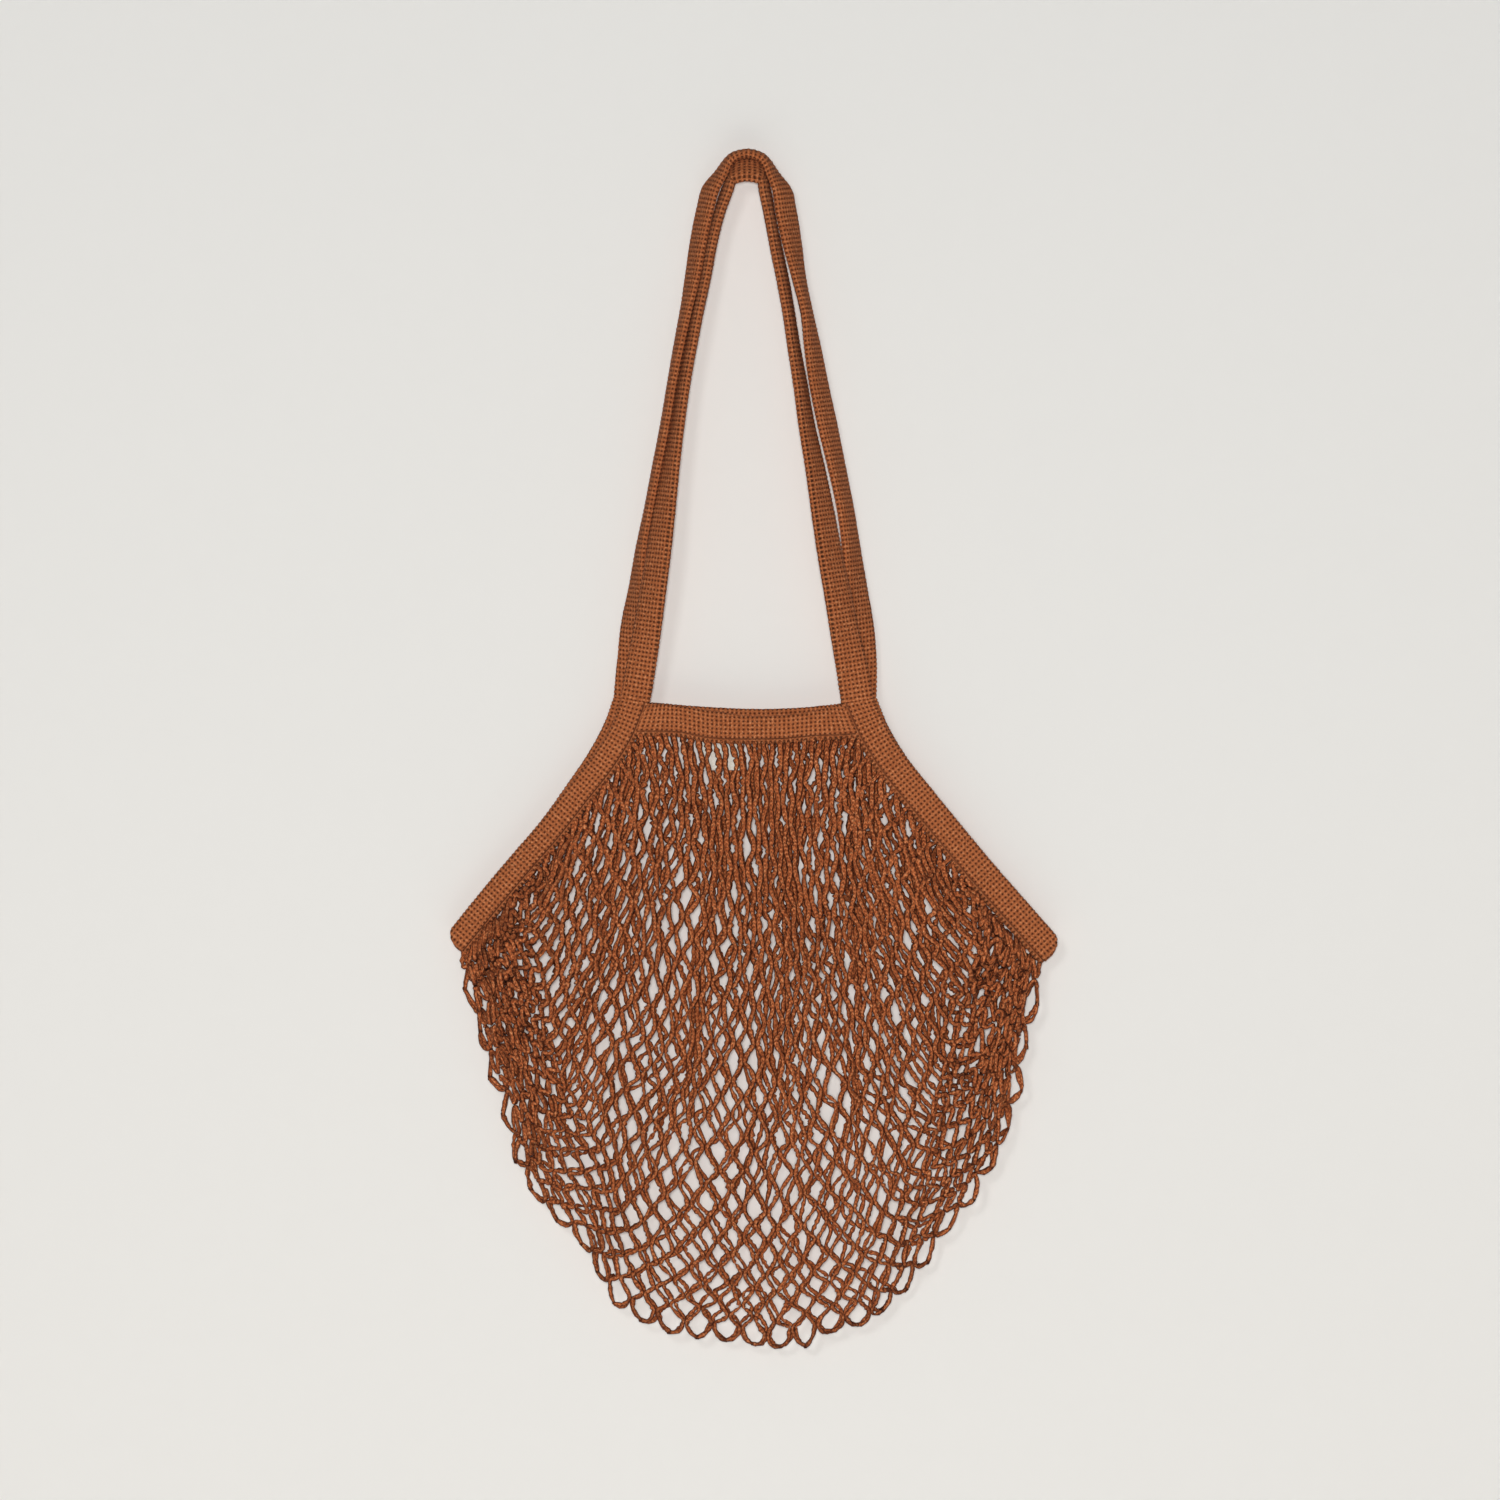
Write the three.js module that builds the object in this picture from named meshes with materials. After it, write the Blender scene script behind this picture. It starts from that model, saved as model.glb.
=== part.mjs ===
// A knitted string shopping bag with two long handles, hanging from a peg.
// Millimetres, +Z up. The origin is on top of the peg, where the handles bear.
// +X is to the right and -Y towards the viewer; the wall that the peg stands on is on the +Y side.
import * as THREE from 'three';

// Knitted tape of the handles and the bands
const TAPE_WIDTH = 20;
const TAPE_THICKNESS = 3.6;
const TAPE_EDGE = 1.2;             // how far the rounded edge reaches in from the tape's side
const EDGE_FLAT = 0.35;            // share of the thickness that stands upright at the edge
// Mouth and handles
const MOUTH_WIDTH = 116;           // between the inner edges of the two legs of a handle
const MOUTH_DEPTH = 10;            // clear between the front and the back mouth band
const MOUTH_SAG = 10;              // how far the mouth bands hang down between the legs
const HANDLE_DROP = 322;           // from the peg's top down to the top edge of the mouth
const PEG_DIAMETER = 14;           // what the handles hang over
const FRONT_SINK = 4.2;            // how far the front handle's middle sits below the peg's top
const HANDLE_FORWARD = 3;          // the front handle's middle, forward of the origin
const FORWARD_OVER = 0.2;          // share of HANDLE_DROP, from the mouth, over which it comes forward
const HANDLE_SETBACK = 6;          // the rear handle's middle, behind the front one's where side by side
// Side bands and pouch
const BODY_WIDTH = 367;            // from tip to tip
const SIDE_DROP = 146;             // from the mouth's top edge down to the tips
const POUCH_DROP = 240;            // from the tips down to the bottom of the net
const TIP_DEPTH = 1.6;             // clear between the two layers of a side band at its tip
const TIP_INSET = 5;               // how much narrower the tape is where it turns round the tip
const TIP_TURN = [45, 90, 135];    // degrees round the tip at which the tape has a section
const FRONT_BULGE = 24;            // the front net's middle at the belly, forward of the bag's middle
const BACK_BULGE = 13.5;           // the back net's, behind it
const BULGE_AT = 0.6;              // where the belly is, from the mouth to the bottom fold
const BOTTOM_ROUND = 4;            // powers that round the belly off to the bottom fold
const SIDE_ROUND = 6;              // and to the sides; higher is squarer
const NET_WALL = 2.4;
const NET_COLUMNS = 9;             // diamond gaps side by side
const NET_ROWS = 8;                // half diamonds from the mouth to the bottom fold
const NORMAL_STEP = 0.25;          // share of a half diamond over which the wall's slope is read
const GAP_REACH = 0.78;            // size of a gap against its diamond, at the corners
const GAP_BELLY = 0.82;            // the same, at the middles of the sides
// Label
const LABEL_WIDTH = 24.6;
const LABEL_HEIGHT = 23;
const LABEL_THICKNESS = 0.6;
const LABEL_OVERLAP = 5;           // how far the label is sewn up behind the back band's lower edge
const LABEL_PLACE = 0.4;           // its middle, from the left leg to the right leg
const CLEARANCE = 0.3;             // gap between neighbouring solids

const BACK = new THREE.Vector3(0, 1, 0);
const UP = new THREE.Vector3(0, 0, 1);
const HALF_THICK = TAPE_THICKNESS / 2;
const LEG_OFFSET = (MOUTH_WIDTH + TAPE_WIDTH) / 2;
const TIP_OFFSET = BODY_WIDTH / 2 - TAPE_WIDTH / 3;
const LAYER_OFFSET = MOUTH_DEPTH / 2 + HALF_THICK;
const TIP_LAYER_OFFSET = TIP_DEPTH / 2 + HALF_THICK;
const MOUTH_STEPS = 2 * Math.round(NET_COLUMNS / 3);
const SIDE_STEPS = (2 * NET_COLUMNS - MOUTH_STEPS) / 2;
const RIM_STEPS = 2 * NET_COLUMNS;
const FOLD_POINTS_PER_STEP = 8;

// The two legs of the handles, from the mouth up to the peg. down and across place the middle of the
// front handle as shares of HANDLE_DROP and LEG_OFFSET. turn and rearTurn are how far the front and
// the rear tape turn edge-on to the viewer, in degrees. apart is the gap seen between them as a share
// of TAPE_WIDTH, negative where the rear tape passes behind the front one, and behind is the share of
// the depth that takes one fully behind the other. narrow is the tape's width against TAPE_WIDTH.
const LEFT_LEG = [
  { down: 1.000, across: -0.985, turn: 0, rearTurn: 0, apart: -0.69, behind: 1, narrow: 0.90 },
  { down: 0.940, across: -0.935, turn: 18, rearTurn: 16, apart: -0.68, behind: 1, narrow: 0.95 },
  { down: 0.870, across: -0.880, turn: 33, rearTurn: 38, apart: -0.52, behind: 1, narrow: 1 },
  { down: 0.800, across: -0.830, turn: 40, rearTurn: 62, apart: -0.28, behind: 1, narrow: 1 },
  { down: 0.730, across: -0.780, turn: 46, rearTurn: 78, apart: 0, behind: 0.85, narrow: 1 },
  { down: 0.650, across: -0.730, turn: 52, rearTurn: 84, apart: 0, behind: 0.55, narrow: 1 },
  { down: 0.570, across: -0.675, turn: 62, rearTurn: 84, apart: 0, behind: 0.3, narrow: 1 },
  { down: 0.486, across: -0.613, turn: 72, rearTurn: 84, apart: 0, behind: 0.15, narrow: 1 },
  { down: 0.406, across: -0.555, turn: 75, rearTurn: 84, apart: 0, behind: 0, narrow: 1 },
  { down: 0.328, across: -0.484, turn: 78, rearTurn: 80, apart: 0, behind: 0, narrow: 1 },
  { down: 0.270, across: -0.427, turn: 81, rearTurn: 76, apart: 0, behind: 0, narrow: 1 },
  { down: 0.212, across: -0.364, turn: 84, rearTurn: 68, apart: 0, behind: 0, narrow: 1 },
  { down: 0.151, across: -0.311, turn: 84, rearTurn: 65, apart: 0, behind: 0, narrow: 1 },
  { down: 0.092, across: -0.243, turn: 82, rearTurn: 63, apart: 0, behind: 0, narrow: 1 },
  { down: 0.052, across: -0.180, turn: 78, rearTurn: 64, apart: 0, behind: 0, narrow: 1 },
];
const RIGHT_LEG = [
  { down: 1.000, across: 0.972, turn: 0, rearTurn: 0, apart: -0.90, behind: 1, narrow: 0.99 },
  { down: 0.940, across: 0.925, turn: 14, rearTurn: 14, apart: -0.74, behind: 1, narrow: 1 },
  { down: 0.870, across: 0.858, turn: 30, rearTurn: 33, apart: -0.48, behind: 1, narrow: 1 },
  { down: 0.800, across: 0.797, turn: 38, rearTurn: 48, apart: -0.3, behind: 1, narrow: 1 },
  { down: 0.730, across: 0.732, turn: 44, rearTurn: 60, apart: -0.1, behind: 1, narrow: 1 },
  { down: 0.650, across: 0.668, turn: 50, rearTurn: 64, apart: 0, behind: 0.7, narrow: 1 },
  { down: 0.570, across: 0.603, turn: 58, rearTurn: 62, apart: 0, behind: 0.4, narrow: 1 },
  { down: 0.486, across: 0.526, turn: 66, rearTurn: 58, apart: 0, behind: 0.15, narrow: 1 },
  { down: 0.406, across: 0.467, turn: 72, rearTurn: 60, apart: 0, behind: 0, narrow: 1 },
  { down: 0.340, across: 0.413, turn: 76, rearTurn: 66, apart: 0.08, behind: 0, narrow: 1 },
  { down: 0.285, across: 0.373, turn: 78, rearTurn: 77, apart: 0.17, behind: 0, narrow: 1 },
  { down: 0.222, across: 0.321, turn: 77, rearTurn: 73, apart: 0.08, behind: 0, narrow: 1 },
  { down: 0.158, across: 0.258, turn: 78, rearTurn: 60, apart: 0, behind: 0, narrow: 1 },
  { down: 0.092, across: 0.196, turn: 81, rearTurn: 55, apart: 0, behind: 0, narrow: 1 },
  { down: 0.052, across: 0.160, turn: 78, rearTurn: 60, apart: 0, behind: 0, narrow: 1 },
];
// The bend over the peg, from left to right: across as a share of the peg's radius, and sink, how far
// the front tape's middle is below the peg's top, as a share of FRONT_SINK.
const PEG_BEND = [
  { across: -1.30, sink: 2.30, turn: 68, rearTurn: 72 },
  { across: -0.85, sink: 1.30, turn: 54, rearTurn: 84 },
  { across: 0, sink: 1.0, turn: 46, rearTurn: 90 },
  { across: 0.85, sink: 1.30, turn: 54, rearTurn: 84 },
  { across: 1.25, sink: 2.30, turn: 68, rearTurn: 72 },
];

// The middle of each side band's front layer, from the mouth down to the tip. out is the share of the
// way from the leg to the tip and down the share of SIDE_DROP. narrow is the width against TAPE_WIDTH,
// and rearOut how much further out the back layer runs, as a share of TAPE_WIDTH.
const LEFT_SLANT = [
  { out: 0.000, down: 0.000, narrow: 0.90, rearOut: 0.22 },
  { out: 0.063, down: 0.133, narrow: 0.84, rearOut: 0.24 },
  { out: 0.132, down: 0.223, narrow: 0.84, rearOut: 0.20 },
  { out: 0.271, down: 0.355, narrow: 0.85, rearOut: 0.09 },
  { out: 0.463, down: 0.540, narrow: 0.86, rearOut: 0.02 },
  { out: 0.716, down: 0.758, narrow: 0.86, rearOut: 0 },
  { out: 0.960, down: 0.985, narrow: 0.86, rearOut: 0 },
];
const RIGHT_SLANT = [
  { out: 0.000, down: 0.000, narrow: 0.99, rearOut: 0.10 },
  { out: 0.050, down: 0.096, narrow: 0.97, rearOut: 0.08 },
  { out: 0.167, down: 0.244, narrow: 0.97, rearOut: 0.03 },
  { out: 0.292, down: 0.363, narrow: 0.97, rearOut: 0.01 },
  { out: 0.483, down: 0.540, narrow: 0.97, rearOut: 0 },
  { out: 0.675, down: 0.716, narrow: 0.97, rearOut: 0 },
  { out: 1.030, down: 1.020, narrow: 0.95, rearOut: 0 },
];
// Where the mouth bands' lower edges meet the side bands, as a share of the side band from the mouth
const SIDE_CORNER = 0.12;

// The mouth bands from left to right: along is the share of the way between the legs, sag the share of
// MOUTH_SAG and narrow the width against TAPE_WIDTH.
const FRONT_MOUTH = [
  { along: 0.00, sag: 0.00, narrow: 0.87 },
  { along: 0.30, sag: 0.52, narrow: 1.00 },
  { along: 0.57, sag: 1.00, narrow: 0.82 },
  { along: 0.78, sag: 0.70, narrow: 0.90 },
  { along: 1.00, sag: 0.12, narrow: 0.98 },
];
const BACK_MOUTH = [
  { along: 0.00, sag: 0.00, narrow: 0.90 },
  { along: 0.30, sag: 0.42, narrow: 0.94 },
  { along: 0.57, sag: 0.62, narrow: 0.94 },
  { along: 0.78, sag: 0.45, narrow: 0.94 },
  { along: 1.00, sag: 0.06, narrow: 0.94 },
];

// The outline of the net below the tips, from the left tip round the bottom to the right tip: across
// as a share of half of BODY_WIDTH and down as a share of POUCH_DROP below the tips.
const OUTLINE = [
  { across: -0.895, down: 0.110 },
  { across: -0.845, down: 0.235 },
  { across: -0.780, down: 0.400 },
  { across: -0.690, down: 0.595 },
  { across: -0.530, down: 0.745 },
  { across: -0.440, down: 0.860 },
  { across: -0.250, down: 0.965 },
  { across: 0.000, down: 0.995 },
  { across: 0.190, down: 1.000 },
  { across: 0.400, down: 0.930 },
  { across: 0.590, down: 0.775 },
  { across: 0.712, down: 0.640 },
  { across: 0.835, down: 0.435 },
  { across: 0.905, down: 0.250 },
  { across: 0.945, down: 0.100 },
];

const radians = (degrees) => THREE.MathUtils.degToRad(degrees);
const lerp = THREE.MathUtils.lerp;
const ahead = (from, to) => new THREE.Vector3().subVectors(to, from).normalize();
const offset = (point, direction, distance) => point.clone().addScaledVector(direction, distance);

// A row of a table at a share of the way through one of its columns, each value run straight between
// the rows
function rowAt(table, column, share) {
  let index = 1;
  while (index + 1 < table.length && table[index][column] < share) index += 1;
  const [low, high] = [table[index - 1], table[index]];
  const part = (share - low[column]) / (high[column] - low[column]);
  return Object.fromEntries(Object.keys(low).map((key) => [key, lerp(low[key], high[key], part)]));
}

function closedGeometry(points, faces) {
  const geometry = new THREE.BufferGeometry();
  const positions = points.flatMap((point) => point.toArray());
  geometry.setAttribute('position', new THREE.Float32BufferAttribute(positions, 3));
  geometry.setIndex(faces);
  geometry.computeVertexNormals();
  return geometry;
}

// A tape carried along stations, each with its middle, the direction across the tape and its width.
// The section is a flat strip with rounded edges, and both ends are closed.
function tapeGeometry(stations) {
  const section = [
    { edge: -1, lift: -EDGE_FLAT, inset: 0 },
    { edge: -1, lift: -1, inset: TAPE_EDGE },
    { edge: 1, lift: -1, inset: TAPE_EDGE },
    { edge: 1, lift: -EDGE_FLAT, inset: 0 },
    { edge: 1, lift: EDGE_FLAT, inset: 0 },
    { edge: 1, lift: 1, inset: TAPE_EDGE },
    { edge: -1, lift: 1, inset: TAPE_EDGE },
    { edge: -1, lift: EDGE_FLAT, inset: 0 },
  ];
  const rings = stations.map((station, index) => {
    const before = stations[Math.max(index - 1, 0)].middle;
    const after = stations[Math.min(index + 1, stations.length - 1)].middle;
    const face = new THREE.Vector3().crossVectors(ahead(before, after), station.side).normalize();
    return section.map(({ edge, lift, inset }) => {
      const reach = edge * (station.width / 2 - inset);
      return offset(offset(station.middle, station.side, reach), face, lift * HALF_THICK);
    });
  });
  const size = section.length;
  const last = (rings.length - 1) * size;
  const faces = [];
  for (let start = 0; start < last; start += size) {
    for (let k = 0; k < size; k += 1) {
      const here = start + k;
      const next = start + (k + 1) % size;
      faces.push(here, next, next + size, here, next + size, here + size);
    }
  }
  for (let k = 1; k + 1 < size; k += 1) {
    faces.push(0, k + 1, k, last, last + k, last + k + 1);
  }
  return closedGeometry(rings.flat(), faces);
}

// How far a tape reaches to each side of its middle in the view and in depth, when it is turned
function reachOf(turn, width) {
  const sin = Math.sin(radians(turn));
  const cos = Math.cos(radians(turn));
  return { view: (width / 2) * cos + HALF_THICK * sin, depth: (width / 2) * sin + HALF_THICK * cos };
}

// Both handles from the left leg's foot over the peg to the right leg's foot. The rear handle runs
// outside the front one, clear of it by CLEARANCE, or behind it where the tables say so.
function handleStations() {
  const leg = (row) => ({ ...row, x: row.across * LEG_OFFSET, z: -row.down * HANDLE_DROP });
  const bend = (row) => ({
    ...row,
    x: row.across * PEG_DIAMETER / 2,
    z: -row.sink * FRONT_SINK,
    down: 0,
    apart: 0,
    behind: 0,
    narrow: 1,
  });
  const rows = [...LEFT_LEG.map(leg), ...PEG_BEND.map(bend), ...RIGHT_LEG.map(leg).reverse()];
  const line = rows.map((row) => new THREE.Vector3(row.x, 0, row.z));
  const front = [];
  const rear = [];
  rows.forEach((row, index) => {
    const along = ahead(line[Math.max(index - 1, 0)], line[Math.min(index + 1, line.length - 1)]);
    const outward = new THREE.Vector3().crossVectors(along, BACK).normalize();
    const width = row.narrow * TAPE_WIDTH;
    const sideOf = (turn) => offset(outward.clone().multiplyScalar(Math.cos(radians(turn))),
      BACK, Math.sin(radians(turn)));
    const near = reachOf(row.turn, width);
    const far = reachOf(row.rearTurn, width);
    const beside = near.view + far.view + CLEARANCE + row.apart * TAPE_WIDTH;
    const split = row.behind * Math.max(near.depth + far.depth + CLEARANCE, 2 * LAYER_OFFSET);
    const forward = HANDLE_FORWARD * THREE.MathUtils.smoothstep(1 - row.down, 0, FORWARD_OVER);
    const setback = HANDLE_SETBACK * (1 - row.behind);
    front.push({ middle: offset(line[index], BACK, -forward - split / 2), side: sideOf(row.turn), width });
    rear.push({
      middle: offset(offset(line[index], outward, beside), BACK, setback - forward + split / 2),
      side: sideOf(row.rearTurn),
      width,
    });
  });
  return { front, rear };
}

// One side band, from the front handle's foot down to the tip, round it and up to the rear handle's
// foot. Its steps below the mouth bands' corner are those of the net's rim, which runs along them.
function sideStations(table, frontFoot, rearFoot) {
  const mirror = Math.sign(frontFoot.middle.x);
  const reach = TIP_OFFSET - Math.abs(frontFoot.middle.x);
  const shares = [];
  for (let step = 0; step <= SIDE_STEPS; step += 1) {
    shares.push(lerp(SIDE_CORNER, 1, step / SIDE_STEPS));
  }
  const lastRow = table[table.length - 1];
  const rows = shares.map((share) => rowAt(table, 'down', share * lastRow.down));
  const line = rows.map((row) => new THREE.Vector3(
    frontFoot.middle.x + mirror * row.out * reach, 0, -HANDLE_DROP - row.down * SIDE_DROP));
  const footLine = [frontFoot.middle.clone().setY(0), ...line];
  const outwardAt = (index) => {
    const along = ahead(footLine[index], footLine[Math.min(index + 2, line.length)]);
    return new THREE.Vector3().crossVectors(along, BACK).multiplyScalar(mirror);
  };
  const layer = rows.map((row) => lerp(LAYER_OFFSET, TIP_LAYER_OFFSET, row.down / lastRow.down));
  const sides = rows.map((row, index) => outwardAt(index));
  const front = rows.map((row, index) => ({
    middle: offset(line[index], BACK, -layer[index]),
    side: sides[index],
    width: row.narrow * TAPE_WIDTH,
  }));
  const rear = rows.map((row, index) => ({
    middle: offset(offset(line[index], sides[index], row.rearOut * TAPE_WIDTH), BACK, layer[index]),
    side: sides[index],
    width: row.narrow * TAPE_WIDTH,
  }));
  const end = line.length - 1;
  const tipward = ahead(line[end - 1], line[end]);
  // Round the tip the outer edge draws in, while the inner edge runs straight on.
  const turnStation = (angle) => {
    const sin = Math.sin(radians(angle));
    const drawIn = TIP_INSET * sin ** 2;
    const inPlane = offset(line[end], tipward, TIP_LAYER_OFFSET * sin);
    return {
      middle: offset(offset(inPlane, sides[end], -drawIn / 2),
        BACK, -TIP_LAYER_OFFSET * Math.cos(radians(angle))),
      side: sides[end],
      width: lastRow.narrow * TAPE_WIDTH - drawIn,
    };
  };
  const footStation = (foot, next) => ({
    middle: offset(foot.middle, ahead(foot.middle, next.middle), CLEARANCE),
    side: foot.side,
    width: foot.width,
  });
  const turn = TIP_TURN.map(turnStation);
  return {
    front,
    rear,
    tip: turn[1],
    tipward,
    tape: [
      footStation(frontFoot, front[0]), ...front, ...turn, ...rear.slice().reverse(),
      footStation(rearFoot, rear[0]),
    ],
  };
}

// A mouth band between the inner edges of the two side bands, with its steps on the net's rim. Its
// ends run along those edges.
function mouthStations(table, left, right, depth) {
  const inner = (station) => offset(station.middle, station.side, -station.width / 2);
  const endOf = (feet, corner, inward) => {
    const top = inner(feet);
    const bottom = inner(corner);
    const side = ahead(bottom, top);
    return {
      middle: top.clone().lerp(bottom, 0.5).addScaledVector(inward, CLEARANCE).setY(depth),
      side: side.setY(0).normalize(),
      width: top.distanceTo(bottom) - 2 * CLEARANCE,
    };
  };
  const start = endOf(left.foot, left.corner, new THREE.Vector3(1, 0, 0));
  const end = endOf(right.foot, right.corner, new THREE.Vector3(-1, 0, 0));
  const stations = [start];
  for (let step = 1; step < MOUTH_STEPS; step += 1) {
    const row = rowAt(table, 'along', step / MOUTH_STEPS);
    const width = row.narrow * TAPE_WIDTH;
    const x = lerp(start.middle.x, end.middle.x, row.along);
    const z = -HANDLE_DROP - row.sag * MOUTH_SAG - width / 2;
    stations.push({ middle: new THREE.Vector3(x, depth, z), side: UP, width });
  }
  return [...stations, end];
}

// The net's rim in front or at the back, from the left tip up the side band, along the mouth band's
// lower edge and down the other side band, clear of them by CLEARANCE
function rimPoints(left, right, mouth) {
  const under = (station) => offset(station.middle, station.side, -station.width / 2 - CLEARANCE);
  const leftEdge = left.map(under).reverse();
  const rightEdge = right.map(under);
  const mouthEdge = mouth.map(under);
  leftEdge[leftEdge.length - 1].z -= CLEARANCE;
  rightEdge[0].z -= CLEARANCE;
  return [...leftEdge, ...mouthEdge.slice(1, -1), ...rightEdge];
}

// The front net (wall -1) or the back net (wall 1) over a lattice of half steps, a across from tip to
// tip and b down from the rim to the fold at the sides and bottom, where the two nets meet. Each
// diamond of the lattice has a gap cut through.
function netGeometry(wall, rim, leftTip, rightTip) {
  const fold = new THREE.CatmullRomCurve3(OUTLINE.map((row) => new THREE.Vector3(
    row.across * BODY_WIDTH / 2, 0, -HANDLE_DROP - SIDE_DROP - row.down * POUCH_DROP)));
  const foldPoints = fold.getSpacedPoints(FOLD_POINTS_PER_STEP * RIM_STEPS);
  const alongList = (list, share) => {
    const place = Math.min(Math.max(share, 0), 1) * (list.length - 1);
    const index = Math.min(Math.floor(place), list.length - 2);
    return list[index].clone().lerp(list[index + 1], place - index);
  };
  const atSeam = (a, b) => a === 0 || a === RIM_STEPS || b === NET_ROWS;
  const middleAt = (a, b) => {
    const top = alongList(rim, a / RIM_STEPS);
    const bottom = alongList(foldPoints, a / RIM_STEPS);
    const share = b / NET_ROWS;
    const belly = Math.sin(Math.PI / 2 * Math.min(share / BULGE_AT, 1));
    const closing = Math.sqrt(Math.max(1 - share ** BOTTOM_ROUND, 0));
    const sides = Math.sqrt(Math.max(1 - Math.abs(2 * a / RIM_STEPS - 1) ** SIDE_ROUND, 0));
    const bulge = (wall < 0 ? -FRONT_BULGE : BACK_BULGE) * sides;
    const point = top.clone().lerp(bottom, share);
    const seam = atSeam(a, b) ? wall * CLEARANCE / 2 : 0;
    point.y = closing * lerp(top.y, bulge, belly) + seam;
    return point;
  };
  const outwardAt = (a, b) => {
    const atTip = a === 0 || a === RIM_STEPS;
    if (b === 0) {
      if (atTip) return (a === 0 ? leftTip : rightTip).clone();
      return BACK.clone().multiplyScalar(wall);
    }
    if (b === NET_ROWS) {
      const before = alongList(foldPoints, (a - NORMAL_STEP) / RIM_STEPS);
      const after = alongList(foldPoints, (a + NORMAL_STEP) / RIM_STEPS);
      return new THREE.Vector3().crossVectors(ahead(before, after), BACK);
    }
    if (atTip) {
      const above = middleAt(a, b - NORMAL_STEP).setY(0);
      const below = middleAt(a, b + NORMAL_STEP).setY(0);
      const outward = new THREE.Vector3().crossVectors(ahead(above, below), BACK);
      return a === 0 ? outward : outward.negate();
    }
    const left = middleAt(a - NORMAL_STEP, b);
    const right = middleAt(a + NORMAL_STEP, b);
    const above = middleAt(a, b - NORMAL_STEP);
    const below = middleAt(a, b + NORMAL_STEP);
    const normal = new THREE.Vector3().crossVectors(ahead(left, right), ahead(above, below));
    return normal.normalize().multiplyScalar(wall);
  };

  const points = [];
  const known = new Map();
  // A point of the lattice on the outer (layer 1) or inner (layer -1) face
  const pointAt = (layer, a, b) => {
    const key = [layer, a, b].join();
    if (!known.has(key)) {
      known.set(key, points.length);
      points.push(offset(middleAt(a, b), outwardAt(a, b), layer * NET_WALL / 2));
    }
    return known.get(key);
  };
  const faces = [];
  const triangle = (layer, p, q, r) => {
    if (wall * layer < 0) faces.push(p, q, r);
    else faces.push(p, r, q);
  };
  const quad = (layer, p, q, r, s) => {
    triangle(layer, p, q, r);
    triangle(layer, p, r, s);
  };
  // The strip of wall between the two faces, along an edge or round a gap
  const strip = (from, to) => quad(1, pointAt(1, ...from), pointAt(1, ...to),
    pointAt(-1, ...to), pointAt(-1, ...from));
  const halves = [[-1, 0], [-0.5, 0.5], [0, 1], [0.5, 0.5], [1, 0], [0.5, -0.5], [0, -1], [-0.5, -0.5]];
  const inside = ([a, b]) => a >= 0 && a <= RIM_STEPS && b >= 0 && b <= NET_ROWS;
  for (let b = 0; b <= NET_ROWS; b += 1) {
    for (let a = (b + 1) % 2; a <= RIM_STEPS; a += 2) {
      const around = halves.map(([da, db]) => [a + da, b + db]);
      if (around.every(inside)) {
        const holes = halves.map(([da, db]) => {
          const size = da === 0 || db === 0 ? GAP_REACH : GAP_BELLY;
          return [a + size * da, b + size * db];
        });
        around.forEach((corner, k) => {
          const next = (k + 1) % around.length;
          for (const layer of [1, -1]) {
            quad(layer, pointAt(layer, ...corner), pointAt(layer, ...around[next]),
              pointAt(layer, ...holes[next]), pointAt(layer, ...holes[k]));
          }
          strip(holes[k], holes[next]);
        });
      } else {
        around.forEach((corner, k) => {
          const next = around[(k + 1) % around.length];
          if (!inside(corner) || !inside(next)) return;
          for (const layer of [1, -1]) {
            triangle(layer, pointAt(layer, a, b), pointAt(layer, ...corner), pointAt(layer, ...next));
          }
        });
      }
    }
  }
  const corners = [[0, 0], [RIM_STEPS, 0], [RIM_STEPS, NET_ROWS], [0, NET_ROWS]];
  corners.forEach(([a, b], k) => {
    const [endA, endB] = corners[(k + 1) % corners.length];
    const steps = Math.abs(endA - a) + Math.abs(endB - b);
    for (let step = 0; step < steps; step += 1) {
      const at = (share) => [lerp(a, endA, share / steps), lerp(b, endB, share / steps)];
      strip(at(step), at(step + 1));
    }
  });
  return closedGeometry(points, faces);
}

function labelGeometry(backMouth) {
  const start = backMouth[0].middle;
  const end = backMouth[backMouth.length - 1].middle;
  const row = rowAt(BACK_MOUTH, 'along', LABEL_PLACE);
  const lowerEdge = -HANDLE_DROP - row.sag * MOUTH_SAG - row.narrow * TAPE_WIDTH;
  const geometry = new THREE.BoxGeometry(LABEL_WIDTH, LABEL_THICKNESS, LABEL_HEIGHT);
  geometry.translate(lerp(start.x, end.x, LABEL_PLACE),
    MOUTH_DEPTH / 2 - CLEARANCE - LABEL_THICKNESS / 2,
    lowerEdge + LABEL_OVERLAP - LABEL_HEIGHT / 2);
  return geometry;
}

const knitted = new THREE.MeshStandardMaterial({ color: 0xa8603a, roughness: 0.95, metalness: 0 });
const netCotton = new THREE.MeshStandardMaterial({ color: 0x9c5430, roughness: 0.95, metalness: 0 });
const labelCotton = new THREE.MeshStandardMaterial({ color: 0xe6dccb, roughness: 0.9, metalness: 0 });

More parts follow.
